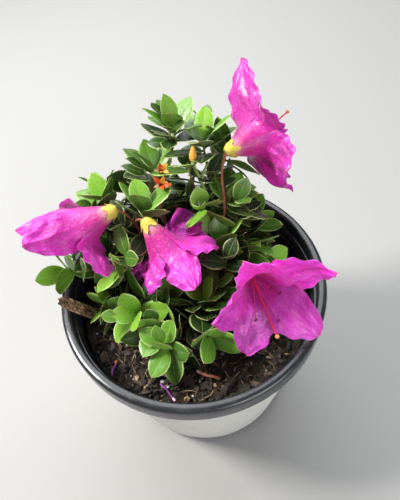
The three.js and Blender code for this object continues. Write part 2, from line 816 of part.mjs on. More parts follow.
// A place on the axis of the twig that twigSolid makes, at a share of its length.
function onTwig(curve, share) {
  const segments = twigStations(curve) - 1;
  const place = share * segments;
  const below = Math.min(segments - 1, Math.floor(place));
  return curve.getPointAt(below / segments).lerp(curve.getPointAt((below + 1) / segments), place - below);
}

// The direction away from the corolla's axis at an angle round it.
function awayFrom(frame, angle) {
  return frame.up.clone().multiplyScalar(Math.cos(angle)).addScaledVector(frame.side, Math.sin(angle));
}

// The inside of the corolla faces its axis, and the more so the less that it has opened.
function inside(frame, away, angle) {
  return frame.along.clone().multiplyScalar(Math.sin(angle)).addScaledVector(away, -Math.cos(angle));
}

// Corolla: five lobes that share one tube and then part.
function lobeRows(bloom, frame, k) {
  const turn = degrees(bloom.roll) + (2 * Math.PI * k) / LOBE_COUNT;
  const radial = awayFrom(frame, turn);
  const sideways = new THREE.Vector3().crossVectors(frame.along, radial);
  const length = LOBE_LENGTH * bloom.lengths[k];
  const opened = TUBE_LENGTH + OPENING;
  const total = TUBE_LENGTH + length;
  const angleAt = (s) =>
    mix(TUBE_FLARE, degrees(bloom.spreads[k]), smooth(s, TUBE_LENGTH, opened)) +
    degrees(bloom.curls[k]) * smooth(s, opened, total);
  const point = frame.origin.clone().addScaledVector(radial, TUBE_BASE_RADIUS);
  let radius = TUBE_BASE_RADIUS;
  let travelled = 0;
  const inTube = TUBE_STATIONS.map((share) => share * TUBE_LENGTH);
  const stations = [...inTube, ...LOBE_STATIONS.map((share) => TUBE_LENGTH + share * length)];
  return stations.map((s) => {
    while (travelled < s - TINY) {
      const stride = Math.min(1, s - travelled);
      const angle = angleAt(travelled + stride / 2);
      point.addScaledVector(frame.along, stride * Math.cos(angle));
      point.addScaledVector(radial, stride * Math.sin(angle));
      radius += stride * Math.sin(angle);
      travelled += stride;
    }
    const angle = angleAt(s);
    if (s <= TUBE_LENGTH) return tubeRow(frame, point, radius, turn, angle);
    const inward = inside(frame, radial, angle);
    return lobeRow(bloom, k, { point, inward, sideways, beyond: (s - TUBE_LENGTH) / length, length });
  });
}

function tubeRow(frame, point, radius, turn, angle) {
  const reach = point.clone().sub(frame.origin).dot(frame.along);
  const centre = frame.origin.clone().addScaledVector(frame.along, reach);
  return LOBE_ACROSS.map((v) => {
    const away = awayFrom(frame, turn + (v * Math.PI) / LOBE_COUNT);
    return { middle: centre.clone().addScaledVector(away, radius), normal: inside(frame, away, angle) };
  });
}

function lobeRow(bloom, k, { point, inward, sideways, beyond, length }) {
  const outline = Math.sin(Math.PI * mix(...LOBE_SHAPE, beyond)) ** LOBE_FULLNESS;
  const half = (LOBE_WIDTH / 2) * bloom.widths[k] * outline;
  const bow = bloom.cups[k];
  return LOBE_ACROSS.map((v) => {
    const b = bow * v;
    const ruffle = LOBE_RUFFLE * v * v * Math.sin(beyond * RUFFLE_TURNS + (v > 0 ? k : k + 2));
    const middle = point
      .clone()
      .addScaledVector(sideways, (Math.sin(b) / bow) * half + bloom.drifts[k] * beyond * beyond * length)
      .addScaledVector(inward, ((1 - Math.cos(b)) / bow) * half + ruffle);
    const normal = inward.clone().multiplyScalar(Math.cos(b)).addScaledVector(sideways, -Math.sin(b));
    return { middle, normal };
  });
}

// A closed shell from the lobes' rows: the tube's rows join into rings, and the lobes' rows stay apart.
function corollaGeometry(bloom, frame) {
  const columns = LOBE_ACROSS.length - 1;
  const tubeRows = TUBE_STATIONS.length;
  const places = [];
  const number = (row, i) =>
    row.map((place, j) => (i < tubeRows && j === columns ? -1 : places.push(place) - 1));
  const index = Array.from({ length: LOBE_COUNT }, (_, k) => lobeRows(bloom, frame, k).map(number));
  for (let k = 0; k < LOBE_COUNT; k++) {
    for (let i = 0; i < tubeRows; i++) index[k][i][columns] = index[(k + 1) % LOBE_COUNT][i][0];
  }
  const count = places.length;
  const triangles = [];
  const quad = (a, b, c, d) => triangles.push([a, c, b], [a, d, c]);
  const edge = (a, b) => quad(a, a + count, b + count, b);
  for (const rows of index) {
    for (let i = 0; i < rows.length - 1; i++) {
      const [low, high] = [rows[i], rows[i + 1]];
      for (let j = 0; j < columns; j++) {
        quad(low[j], low[j + 1], high[j + 1], high[j]);
        quad(low[j] + count, high[j] + count, high[j + 1] + count, low[j + 1] + count);
      }
      if (i < tubeRows - 1) continue;
      edge(high[0], low[0]);
      edge(low[columns], high[columns]);
    }
    const last = rows[rows.length - 1];
    for (let j = 0; j < columns; j++) {
      edge(rows[0][j], rows[0][j + 1]);
      edge(last[j + 1], last[j]);
    }
  }
  const layer = (lift) => places.map(({ middle, normal }) => middle.clone().addScaledVector(normal, lift));
  return facesOf([...layer(LOBE_THICKNESS / 2), ...layer(-LOBE_THICKNESS / 2)], triangles);
}

function bloomFrame(bloom) {
  const along = new THREE.Vector3(...bloom.axis).normalize();
  const up = squareTo(along, UP);
  const side = new THREE.Vector3().crossVectors(along, up);
  return { origin: new THREE.Vector3(...bloom.calyx), along, up, side };
}

function bloomSolid(bloom) {
  const frame = bloomFrame(bloom);
  const { origin, along } = frame;
  const arrive = along.clone().lerp(UP, STALK_UPRIGHT).normalize();
  const stalk = bend(stemStart(bloom.bough, origin), tips.get(bloom.bough).along, origin, arrive);
  const place = (reach) => origin.clone().addScaledVector(along, reach);
  const calyxLine = new THREE.LineCurve3(place(-CALYX_BACK), place(CALYX_FRONT));
  const calyx = limbGeometry(calyxLine, CALYX_RADII, CALYX_SIDES);
  const styleLine = new THREE.LineCurve3(origin, place(STYLE_LENGTH));
  const style = limbGeometry(styleLine, STYLE_RADII, TWIG_SIDES);
  const pieces = [corollaGeometry(bloom, frame), calyx, style].map(solidOf);
  return fused([...pieces, twigSolid(stalk, TWIG_RADIUS, TWIG_RADIUS)]);
}

function addNode(group, name, geometry, kind) {
  const mesh = new THREE.Mesh(geometry, materialOf(kind));
  mesh.name = name;
  group.add(mesh);
}

const tips = new Map();

function build() {
  const group = new THREE.Group();
  const pot = potGeometry();
  const soil = soilGeometry();
  const chip = chipGeometry();
  const trunk = trunkGeometry();
  addNode(group, "pot", pot, "pot");
  addNode(group, "wrap", wrapGeometry(), "wrap");
  addNode(group, "compost", soil, "compost");
  addNode(group, "bark_chip", chip, "bark");
  addNode(group, "trunk", trunk, "wood");
  for (const [name, geometry] of [["pot", pot], ["compost", soil], ["bark_chip", chip], ["trunk", trunk]]) {
    stand(name, solidOf(geometry));
  }
  for (const bough of BOUGHS) {
    const curve = boughCurve(bough);
    const geometry = boughGeometry(curve);
    addNode(group, bough.name, geometry, "wood");
    stand(bough.name, solidOf(geometry));
    tips.set(bough.name, { point: curve.getPoint(1), along: curve.getTangent(1), goals: [] });
  }
  for (const mass of MASSES) {
    tips.get(mass.bough).goals.push(meanOf(mass.shoots.map((shoot) => at(...shoot.tip))));
  }
  for (const bloom of BLOOMS) tips.get(bloom.bough).goals.push(new THREE.Vector3(...bloom.calyx));
  for (const bloom of BLOOMS) {
    const solid = stand(bloom.name, bloomSolid(bloom));
    addNode(group, bloom.name, geometryOf(solid), "petal");
  }
  const grown = MASSES.map((mass) => {
    const curves = twigCurves(mass);
    const shoots = curves.slice(-mass.shoots.length);
    const twigs = curves.map((curve) =>
      shoots.includes(curve)
        ? twigSolid(curve, SHOOT_RADIUS, SHOOT_TIP_RADIUS)
        : twigSolid(curve, TWIG_RADIUS, TWIG_RADIUS),
    );
    twigs.forEach((twig) => stand(mass.name, twig));
    return { mass, shoots, twigs };
  });
  for (const { mass, shoots, twigs } of grown) {
    const pieces = [...twigs];
    shoots.forEach((curve, i) => {
      for (const tries of leafPlaces(curve, mass.shoots[i])) {
        const leaf = tries.map(solidOf).find((solid) => isClear(mass.name, solid));
        if (leaf) pieces.push(stand(mass.name, leaf));
      }
    });
    addNode(group, mass.name, geometryOf(fused(pieces)), "leaf");
  }
  return group;
}

export default build();
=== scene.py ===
# A dwarf rhododendron in bloom in a nursery pot: its leaves, twigs, bark, blooms, compost and pot in detail.
import math
from collections import namedtuple
from functools import lru_cache

import bpy
import numpy as np
from mathutils import Matrix, Vector, noise
from mathutils.bvhtree import BVHTree


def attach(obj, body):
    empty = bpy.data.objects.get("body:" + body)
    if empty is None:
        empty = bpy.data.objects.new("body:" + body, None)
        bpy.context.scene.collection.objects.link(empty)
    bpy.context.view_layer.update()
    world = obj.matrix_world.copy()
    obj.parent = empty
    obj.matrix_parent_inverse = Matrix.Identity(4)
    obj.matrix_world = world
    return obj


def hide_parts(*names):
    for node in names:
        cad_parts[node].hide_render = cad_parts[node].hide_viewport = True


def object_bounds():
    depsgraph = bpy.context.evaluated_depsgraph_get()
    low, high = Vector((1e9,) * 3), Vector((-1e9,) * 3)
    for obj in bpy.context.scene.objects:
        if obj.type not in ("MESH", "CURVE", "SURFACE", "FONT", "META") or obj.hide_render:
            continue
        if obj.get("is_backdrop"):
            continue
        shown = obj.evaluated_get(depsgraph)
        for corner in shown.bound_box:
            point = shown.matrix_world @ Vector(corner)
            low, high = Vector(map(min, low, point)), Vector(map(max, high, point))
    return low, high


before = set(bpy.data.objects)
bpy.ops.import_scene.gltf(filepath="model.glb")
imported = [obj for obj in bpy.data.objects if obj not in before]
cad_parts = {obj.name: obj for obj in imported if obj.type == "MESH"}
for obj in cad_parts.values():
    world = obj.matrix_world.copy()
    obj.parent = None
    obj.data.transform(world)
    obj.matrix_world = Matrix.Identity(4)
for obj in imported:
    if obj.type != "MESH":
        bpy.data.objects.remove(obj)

CAD_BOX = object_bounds()
MM = 0.001
TINY = 1e-6
UP = np.array([0.0, 0.0, 1.0])
SIDEWAYS = np.array([1.0, 0.3, 0.1])

# Pot, as in the part's source
POT_HEIGHT = 105
RIM_RADIUS = 65
RIM_BAND = 10
RIM_INNER_RADIUS = 60.5
LIP_THICKNESS = 1.4
WALL_THICKNESS = 1.4
WALL_TOP_RADIUS = 61.6
FOOT_RADIUS = 48.8
STEP_DEPTH = 7
STEP_WIDTH = 0.9
FLOOR_THICKNESS = 2
FOOT_RING = 2
CHANNEL_WIDTH = 9
CHANNEL_HEIGHT = 4
NOTCH_COUNT = 8
NOTCH_WIDTH = 8
NOTCH_HEIGHT = 3
NOTCH_DEPTH = 6
GAP = 0.3
WRAP_THICKNESS = 0.5
WRAP_TOP_GAP = 0.6
WRAP_FOOT_HEIGHT = 4
SOIL_HEIGHT = 85

# Plant, as in the part's source
SEED = 16
GOLDEN_ANGLE = math.radians(137.508)
LEAF_LENGTH = 20
LEAF_WIDTH = 11
LEAF_THICKNESS = 0.6
LEAF_SAG = 0.14
LEAF_SHORTENING = 0.2
LEAF_FOLD = 0.16
LEAF_STATIONS = [[0.3, 0.92], [0.77, 0.88]]
LEAF_OPEN = [20, 76]
LEAF_OPEN_POWER = 0.85
LEAF_OPEN_JITTER = math.radians(6)
LEAF_TURN_JITTER = math.radians(9)
LEAF_SIZE_JITTER = 0.08
LEAF_SMALLEST = 0.5
LEAF_GROWN = 3
LEAF_TRIES = [0, 22, -22, 44, -44]
WHORL_FIRST = 0.4
WHORL_STEP = 0.55
WHORL_POWER = 1.3
LEAF_REACH = 0.85
SHOOT_RADIUS = 0.66
SHOOT_TIP_RADIUS = 0.5
TWIG_STEP = 7
STEM_OFFSET = 1.15
FORK_SHARE = 0.4
FORK_SINK = 0.6
FORK_OFFSET = 0.22
STALK_UPRIGHT = 0.5
TRUNK_FOOT = np.array([0.0, 5.0])
TRUNK_HEIGHT = 16
TRUNK_LEAN = np.array([1.0, 2.5])
TRUNK_FLARE_RADIUS = 4.6
TRUNK_RADIUS = 3.1
TRUNK_TOP_RADIUS = 2.4
FLARE_HEIGHT = 3
ROOT_RIDGE = 1.2
BOUGH_RADIUS = 1.6
BOUGH_TIP_RADIUS = 1.5
BOUGH_RISE = 0.35
BOUGH_GAP = 0.55
CHIP_FOOT = np.array([-50.8, -2.0, 84.4])
CHIP_TIP = np.array([-61.4, -8.1, 112.6])
CHIP_STATIONS = [
    (0, -2.2, 2.4, 1.2),
    (0.3, -3.3, 3.1, 2),
    (0.65, -3.2, 3.3, 2.1),
    (0.88, -2.9, 3.2, 1.9),
    (1, -1.7, 0.7, 1),
]

# Sizes that every bloom shares
OPENING = 8
LOBE_SHAPE = [0.17, 0.97]
LOBE_FULLNESS = 0.75
LOBE_RUFFLE = 0.9
RUFFLE_TURNS = 7
LOBE_COUNT = 5
TUBE_LENGTH = 15
TUBE_BASE_RADIUS = 2
TUBE_FLARE = math.radians(22)
LOBE_LENGTH = 26
LOBE_WIDTH = 18.5
STYLE_LENGTH = 33

Bough = namedtuple("Bough", "name share tip rise")
Tip = namedtuple("Tip", "point along goals")
Shoot = namedtuple("Shoot", "tip lean leaves turn size", defaults=[1])
Mass = namedtuple("Mass", "name bough piece shade shoots")
Bloom = namedtuple(
    "Bloom",
    "name bough calyx axis roll spreads curls lengths widths drifts cups tones broader",
    defaults=[[(0.98, 0)] * LOBE_COUNT, [1] * LOBE_COUNT],
)

# Each bough leaves the trunk at a share of its height. Its tip is an angle, a reach and a height over the
# compost, and it rises there by so much.
BOUGHS = [
    Bough("bough_back", 1, (71, 31, 36), 0.9),
    Bough("bough_right_upper", 0.86, (47, 26, 33), 0.9),
    Bough("bough_mid_left", 0.86, (138, 28, 35), 1),
    Bough("bough_back_left", 0.58, (110, 33, 34), 0.9),
    Bough("bough_left", 0.58, (158, 32, 20), 0.6),
    Bough("bough_right", 0.58, (350, 16, 17), 0.9),
    Bough("bough_back_low", 0.3, (86, 30, 14), 0.5),
    Bough("bough_low_left", 0.3, (200, 22, 8), 0.4),
    Bough("bough_front", 0.3, (264, 14, 8), 0.5),
]

# Each mass of leaves is joined into one of two pieces, and its leaves are painted so many tints darker:
# painted light for the masses in the light, painted shade for those in shade. A shoot has
# its tip's angle, reach and height, its outward lean, its leaves, the turn of their spiral and their size.
LEFT, RIGHT = "leaves_left", "leaves_right"
# How many tints darker a mass is painted: painted light for masses in the light, painted shade for masses in
# shade
MOST_LIT, IN_LIGHT, IN_SHADE = -0.2, 0.4, 1.0
MASSES = [
    Mass("foliage_top_left", "bough_back_left", LEFT, IN_LIGHT, [
        Shoot((88, 52, 71), 0.15, 9, 127),
    ]),
    Mass("foliage_top_middle", "bough_back", RIGHT, IN_LIGHT, [
        Shoot((73, 49, 66), 0.3, 8, 72),
        Shoot((62, 54, 56), 0.7, 6, 0),
    ]),
    Mass("foliage_bud", "bough_back", RIGHT, MOST_LIT, [
        Shoot((81, 37, 62), 0.2, 6, 200),
        Shoot((68, 25, 42), 0, 8, 100),
    ]),
    Mass("foliage_back_left", "bough_back_left", LEFT, IN_SHADE, [
        Shoot((104, 46, 53), 0.3, 9, 107),
        Shoot((114, 54, 40), 0.9, 6, 40),
    ]),
    Mass("foliage_right_upper", "bough_right_upper", RIGHT, IN_LIGHT, [
        Shoot((49, 36, 45), 0.3, 9, 292, 0.8),
        Shoot((58, 46, 34), 0.8, 6, 90, 0.85),
    ]),
    Mass("foliage_left", "bough_left", LEFT, MOST_LIT, [
        Shoot((135, 53, 43), 0.3, 9, 100),
        Shoot((120, 52, 30), 0.9, 6, 20),
    ]),
    Mass("foliage_mid_left", "bough_mid_left", LEFT, IN_LIGHT, [
        Shoot((127, 27, 50), 0.2, 8, 112),
        Shoot((181, 31, 36), 0.4, 7, 120),
    ]),
    Mass("foliage_far_left", "bough_left", LEFT, MOST_LIT, [
        Shoot((171, 61, 26), 0.9, 8, 132),
        Shoot((158, 46, 19), 0.9, 5, 0),
    ]),
    Mass("foliage_low_left", "bough_low_left", LEFT, MOST_LIT, [
        Shoot((188, 41, 16), 0.7, 8, 90, 0.85),
        Shoot((209, 32, 19), 0.4, 8, 177, 0.9),
    ]),
    Mass("foliage_front_left", "bough_low_left", LEFT, IN_SHADE, [
        Shoot((232, 29, 16), 0.4, 9, 110),
        Shoot((215, 14, 17), 0.1, 7, 0),
    ]),
    Mass("foliage_front", "bough_front", LEFT, IN_LIGHT, [
        Shoot((246, 36, 14), 0.4, 9, 90, 0.92),
        Shoot((238, 22, 13), 0.2, 7, 30),
    ]),
    Mass("foliage_front_right", "bough_front", RIGHT, IN_LIGHT, [
        Shoot((281, 30, 14), 0.4, 8, 75),
        Shoot((285, 14, 22), 0.1, 8, 10),
    ]),
    Mass("foliage_middle", "bough_right", RIGHT, IN_SHADE, [
        Shoot((34, 19, 30), 0.1, 9, 90),
        Shoot((305, 16, 20), 0.1, 7, 30),
        Shoot((14, 26, 19), 0.3, 8, 60),
    ]),
    Mass("foliage_right", "bough_right_upper", RIGHT, IN_SHADE, [
        Shoot((34, 43, 26), 0.6, 8, 307, 0.8),
        Shoot((20, 33, 26), 0.4, 8, 140, 0.85),
    ]),
    Mass("foliage_low_right", "bough_right", RIGHT, IN_SHADE, [
        Shoot((8, 38, 18), 0.7, 7, 60),
        Shoot((345, 30, 14), 0.5, 6, 240),
    ]),
    Mass("foliage_back_low", "bough_back_low", LEFT, IN_SHADE, [
        Shoot((98, 48, 24), 0.8, 8, 0),
        Shoot((122, 42, 18), 0.8, 6, 100),
    ]),
    Mass("foliage_back_right", "bough_back_low", RIGHT, IN_SHADE, [
        Shoot((66, 50, 26), 0.8, 8, 50),
        Shoot((48, 50, 16), 0.9, 6, 150),
        Shoot((54, 34, 21), 0.3, 8, 20),
    ]),
]

# A lobe opens by its spread and then curls, in degrees. Its length and width are shares of the usual, and
# it drifts sideways and is cupped by so much. Its tone is painted light and shade: how much brighter it is
# painted where light falls on it or darker where it lies in shade, and how far it is painted towards the
# lilac of shade. Where it is broader, it is wider than the source's by so much.
BLOOMS = [
    Bloom(
        "bloom_left",
        "bough_mid_left",
        calyx=(-29.3, 16.7, 143.4),
        axis=(-0.9, -0.02, -0.44),
        roll=29,
        spreads=[19, 42, 5, 115, 59],
        curls=[-24, -29, -3, -29, 1],
        lengths=[1.23, 1.02, 1.04, 0.84, 1.06],
        widths=[1.03, 1.05, 0.97, 1.05, 0.98],
        drifts=[-0.18, -0.01, -0.05, 0.07, 0.05],
        cups=[0.68, 0.34, 0.97, 0.1, 0.43],
    ),
    Bloom(
        "bloom_middle",
        "bough_mid_left",
        calyx=(-16.1, 8.3, 142.9),
        axis=(0.42, -0.47, -0.77),
        roll=15,
        spreads=[59, 59, 76, 103, 63],
        curls=[-11, -41, 16, 12, -63],
        lengths=[0.92, 0.66, 0.91, 1.02, 0.8],
        widths=[0.92, 1.04, 1.03, 1.1, 1.01],
        drifts=[0.09, 0.02, 0.03, 0.07, -0.08],
        cups=[0.64, 0.36, 0.58, 0.57, 0.1],
        tones=[(1, 0), (1, 0), (1, 0), (1.7, 0), (1.15, 0)],
        broader=[1, 1, 1, 1.3, 1.3],
    ),
    Bloom(
        "bloom_upper",
        "bough_right_upper",
        calyx=(24.1, 34.5, 152.4),
        axis=(0.8, 0.57, -0.19),
        roll=21,
        spreads=[118, 100, 72, 56, 75],
        curls=[22, 34, -47, -5, -20],
        lengths=[0.97, 0.89, 1.25, 0.98, 1.24],
        widths=[1.09, 1.12, 1.06, 1.02, 1.12],
        drifts=[0.03, -0.05, -0.3, 0.01, 0.18],
        cups=[0.68, 0.45, 0.54, 0.55, 0.21],
        tones=[(0.92, 0), (0.92, 0), (0.95, 0), (0.95, 0), (0.86, 0)],
    ),
    Bloom(
        "bloom_right",
        "bough_right",
        calyx=(26.2, -10.3, 120),
        axis=(0.18, -0.9, 0.41),
        roll=9,
        spreads=[53, 48, 76, 48, 69],
        curls=[1, 4, 3, 26, -52],
        lengths=[0.94, 0.95, 0.93, 1.05, 1.11],
        widths=[0.99, 1, 1.05, 1.1, 1.05],
        drifts=[0.19, 0.06, 0.02, -0.08, -0.1],
        cups=[0.55, 0.66, 0.31, 0.44, 0.1],
        tones=[(1.5, 0), (1.2, 0.4), (1.15, 0.5), (1.25, 0.5), (1.5, 0)],
    ),
]

# Detail that only this scene has
SCENE_SEED = 20
CURVE_DIVISIONS = 200
TANGENT_STEP = 0.0001
MASK = 0xFFFFFFFF
LEAF_ROWS = np.array([0, 0.06, 0.16, 0.3, 0.46, 0.62, 0.76, 0.87, 0.94, 0.98, 1])
LEAF_COLUMNS = np.array([-1, -0.88, -0.5, -0.05, 0.05, 0.5, 0.88, 1])
LEAF_EDGE = 0.92
LEAF_RIB = 0.04
LEAF_TIP = 0.95
LEAF_SHEET = 0.26
LEAF_FULLER = 1.1
LEAF_GROWTH = 0.6
FILLERS = 6
SPRIG_LENGTH = [6, 13]
SPRIG_LEAVES = 6
LOWEST_LEAF = 87.5
# Places that the extra leaves keep clear of: a centre and a radius
OPEN_PLACES = [
    ((-58, -4, 104), 15),
    ((-8, 37, 146), 8),
    ((-7, 31, 141), 8),
    ((8, 34, 153), 8),
    ((54, 14, 104), 14),
    ((48, 32, 106), 9),
    ((-46, -19, 94), 10),
    ((-38, -5, 137), 12),
    ((2, -43, 90), 9),
    ((-7, 17, 128), 9),
    ((6, 22, 128), 7),
]
# How near its solid a leaf's corner lies, in millimetres, and how many of them do
LEAF_MATCH = 0.06
LEAF_MATCHES = 3
# A leaf's outline and its relief
LEAF_BROADEST = 1.18
LEAF_FULLNESS = [0.6, 0.8]
LEAF_POINTED_FROM = 0.6
LEAF_FOOT = 0.35
LEAF_FOOT_END = 0.2
LEAF_LEAST = 0.02
LEAF_CUP = 0.3
LEAF_EDGE_DROP = 0.26
LEAF_SAG_VARIES = 0.05
LEAF_WAVE = 0.35
LEAF_WAVES = 8
LEAF_WAVE_BIAS = 0.3
LEAF_RIB_SWELL = 0.8
LEAF_BEND = 0.035
LEAF_ROLLS = 6
LEAF_SPACING = 0.52
# Tints from young to old, and from painted light to painted shade, and how leaves are dealt out to them
LEAF_TINTS = ["fresh", "bright", "mid", "dark", "deep"]
AGE_SHADE = 0.5
SHOOT_SHADES = [-0.3, 0.4]
LEAF_SHADES = [-0.7, 0.6]
FILLER_SHADE = 1.8
# Filler leaves from a shoot's tip down, and sprigs with a few leaves each
FILLER_SHARES = [0.97, 0.25]
FILLER_OPEN = [14, 88]
FILLER_TURN = 0.3
FILLER_TILT = 8
FILLER_SIZES = [0.42, 0.95]
FILLER_GROWN = [0.9, 1.05]
SPRIG_OPEN = [35, 60]
SPRIG_RISE = 0.35
SPRIG_ARRIVE = 0.9
SPRIG_LEAFY = 0.75
SPRIG_YOUNG = 0.75
SPRIG_LEAF_OPEN = [22, 74]
SPRIG_TRIES = [0, 40, -40]
SPRIG_RADII = [0.5, 0.46, 0.43, 0.4, 0.36, 0.3]
SPRIG_SHADE = 0.6
SHOOT_SPRIGS = 2
SHOOT_SPRIG_SHARES = [0.35, 0.8]
SHOOT_SPRIG_TURN = 2.1
SHOOT_SPRIG_SIZES = [0.55, 0.8]
STEM_SPRIG_SHARES = [0.25, 0.55, 0.85]
STEM_SPRIG_TURN = 2.4
STEM_SPRIG_SIZES = [0.6, 0.85]
BOUGH_SPRIG_SIZES = [0.6, 0.9]
BOUGH_SPRIG_STEP = 7
BOUGH_SPRIG_SHARES = [0.35, 0.97]
# Wood
STEM_RADIUS = 0.72
SHOOT_ROWS = 13
TRUNK_ROWS = 33
TRUNK_SIDES = 40
TRUNK_INSET = 0.97
BOUGH_ROW_STEP = 0.7
BOUGH_SIDES = 18
BOUGH_INSET = 0.92
# The trunk's ridges and cracks: their size round it, how fast they change along it, their share of its width
TRUNK_BARK = [(2.2, 0.11, 0.1), (7, 0.5, 0.06)]
# The same for the boughs. Their flakes change along each axis.
BOUGH_RIDGES = (3, 0.16, 0.13)
BOUGH_FLAKES = (4, (1.1, 1.1, 1.3), 0.07)
DRAW_STEP = 0x6D2B79F5
DRAW_RANGE = 4294967296


def unit(v):
    return v / np.linalg.norm(v)


def mix(a, b, share):
    return a + (b - a) * share


def smooth(value, low, high):
    t = np.clip((value - low) / (high - low), 0, 1)
    return t * t * (3 - 2 * t)


def square_to(direction, wish):
    square = wish - wish.dot(direction) * direction
    if square.dot(square) > TINY:
        return unit(square)
    return square_to(direction, SIDEWAYS)


def noise_at(x, y, z):
    return noise.noise(Vector((x, y, z)))


def product(a, b):
    return (a * b) & MASK


def seeded_draws(seed):
    """The same draws as the part's source makes, so that the same leaves grow."""
    state = seed & MASK

    def draw():
        nonlocal state
        state = (state + DRAW_STEP) & MASK
        t = product(state ^ (state >> 15), state | 1)
        t ^= (t + product(t ^ (t >> 7), t | 61)) & MASK
        return (t ^ (t >> 14)) / DRAW_RANGE

    return draw


class Curve:
    """A curve that leaves along one direction and arrives along another, measured by its length."""

    def __init__(self, start, leave, end, arrive):
        third = np.linalg.norm(end - start) / 3
        self.corners = [start, start + leave * third, end - arrive * third, end]
        self.shares = np.linspace(0, 1, CURVE_DIVISIONS + 1)
        steps = np.linalg.norm(np.diff(self.point(self.shares), axis=0), axis=1)
        self.lengths = np.concatenate([[0], np.cumsum(steps)])
        self.length = self.lengths[-1]

    def point(self, t):
        t = np.asarray(t)[..., None]
        a, b, c, d = self.corners
        return (1 - t) ** 3 * a + 3 * (1 - t) ** 2 * t * b + 3 * (1 - t) * t * t * c + t**3 * d

    def at(self, share):
        return self.point(np.interp(share * self.length, self.lengths, self.shares))

    def points(self, count):
        return [self.at(share) for share in np.linspace(0, 1, count)]

    def along(self, share):
        t = np.interp(share * self.length, self.lengths, self.shares)
        return unit(self.point(min(1, t + TANGENT_STEP)) - self.point(max(0, t - TANGENT_STEP)))


def place_at(angle, reach, height):
    a = math.radians(angle)
    return np.array([reach * math.cos(a), reach * math.sin(a), SOIL_HEIGHT + height])


def trunk_point(share):
    middle = TRUNK_FOOT + TRUNK_LEAN * share * share * (3 - 2 * share)
    return np.array([middle[0], middle[1], SOIL_HEIGHT + TRUNK_HEIGHT * share])


def trunk_radius(share):
    flare = 1 - smooth(share * TRUNK_HEIGHT, 0, FLARE_HEIGHT)
    return mix(TRUNK_RADIUS, TRUNK_TOP_RADIUS, share) + (TRUNK_FLARE_RADIUS - TRUNK_RADIUS) * flare


def bough_curve(bough):
    end = place_at(*bough.tip)
    outward = unit(np.array([end[0] - TRUNK_FOOT[0], end[1] - TRUNK_FOOT[1], 0]))
    arrive = unit(outward + UP * bough.rise)
    if bough.share == 1:
        return Curve(trunk_point(1) + UP * GAP, UP, end, arrive)
    leave = unit(outward + UP * BOUGH_RISE)
    reach = trunk_radius(bough.share) + BOUGH_GAP + BOUGH_RADIUS * leave[2]
    return Curve(trunk_point(bough.share) + outward * reach, leave, end, arrive)


def goal_of(mass):
    return np.mean([place_at(*shoot.tip) for shoot in mass.shoots], axis=0)


def bough_tips():
    """Where each bough ends, which way it heads there and what its stems grow towards."""
    tips = {}
    for bough in BOUGHS:
        curve = bough_curve(bough)
        tips[bough.name] = Tip(curve.at(1), curve.along(1), [])
    for mass in MASSES:
        tips[mass.bough].goals.append(goal_of(mass))
    for bloom in BLOOMS:
        tips[bloom.bough].goals.append(np.array(bloom.calyx, float))
    return tips


def stem_start(tip, goal):
    """The stems of a tip start just past it, evenly round its axis and in the order that they head off."""
    middle = np.mean(tip.goals, axis=0)
    across = square_to(tip.along, SIDEWAYS)
    other = np.cross(tip.along, across)

    def heading(one):
        return math.atan2((one - middle).dot(other), (one - middle).dot(across))

    spacing = 2 * math.pi / len(tip.goals)
    headings = sorted(heading(one) for one in tip.goals)
    waves = [one - i * spacing for i, one in enumerate(headings)]
    turn = math.atan2(sum(map(math.sin, waves)), sum(map(math.cos, waves)))
    turn += headings.index(heading(goal)) * spacing
    offset = STEM_OFFSET * (across * math.cos(turn) + other * math.sin(turn))
    return tip.point + tip.along * GAP + offset


def twig_curves(mass, tip):
    """A stem from the bough's tip to a fork, and a shoot from there to each end: (stem or None, shoots)."""
    ends = [place_at(*shoot.tip) for shoot in mass.shoots]
    middle = goal_of(mass)
    start = stem_start(tip, middle)
    arrivals = []
    for shoot, end in zip(mass.shoots, ends):
        outward = unit(np.array([end[0], end[1], 0]))
        arrivals.append(unit(mix(UP, outward, shoot.lean)))
    if len(ends) == 1:
        return None, [Curve(start, tip.along, ends[0], arrivals[0])]
    fork = mix(start, middle, FORK_SHARE)
    onward = unit(middle - start)
    shoots = []
    for end, arrival in zip(ends, arrivals):
        sunk = fork - onward * FORK_SINK + square_to(onward, end - middle) * FORK_OFFSET
        shoots.append(Curve(sunk, onward, end, arrival))
    return Curve(start, tip.along, fork, onward), shoots


def on_twig(curve, share):
    """A place on the polyline that the part's source gives to this twig."""
    segments = max(3, math.ceil(curve.length / TWIG_STEP)) - 1
    below = min(segments - 1, math.floor(share * segments))
    return mix(curve.at(below / segments), curve.at((below + 1) / segments), share * segments - below)


def whorl_share(curve, leaves, j):
    def whorl(i):
        return WHORL_FIRST + WHORL_STEP * i**WHORL_POWER

    fit = min(1, LEAF_REACH * curve.length / whorl(leaves - 1))
    return 1 - whorl(j) * fit / curve.length


def leaf_pose(axis, turn, open_angle):
    across = square_to(axis, np.array([1.0, 0.0, 0.0]))
    out = across * math.cos(turn) + np.cross(axis, across) * math.sin(turn)
    along = axis * math.cos(open_angle) + out * math.sin(open_angle)
    return along, axis * math.sin(open_angle) - out * math.cos(open_angle)


def leaf_choices(curve, shoot, draw):
    """For each leaf of a shoot, from its tip down: its rank and the places that it tries."""

    def jitter(size):
        return (2 * draw() - 1) * size

    for j in range(shoot.leaves):
        share = whorl_share(curve, shoot.leaves, j)
        root, axis = on_twig(curve, share), curve.along(share)
        turn = math.radians(shoot.turn) + GOLDEN_ANGLE * j + jitter(LEAF_TURN_JITTER)
        opened = mix(*LEAF_OPEN, (j / (shoot.leaves - 1)) ** LEAF_OPEN_POWER)
        open_angle = math.radians(opened) + jitter(LEAF_OPEN_JITTER)
        grown = mix(LEAF_SMALLEST, 1, min(1, j / LEAF_GROWN)) * shoot.size
        size = grown * (1 + jitter(LEAF_SIZE_JITTER))
        turns = [turn + math.radians(extra) for extra in LEAF_TRIES]
        yield j, [(root, *leaf_pose(axis, one, open_angle), size) for one in turns]


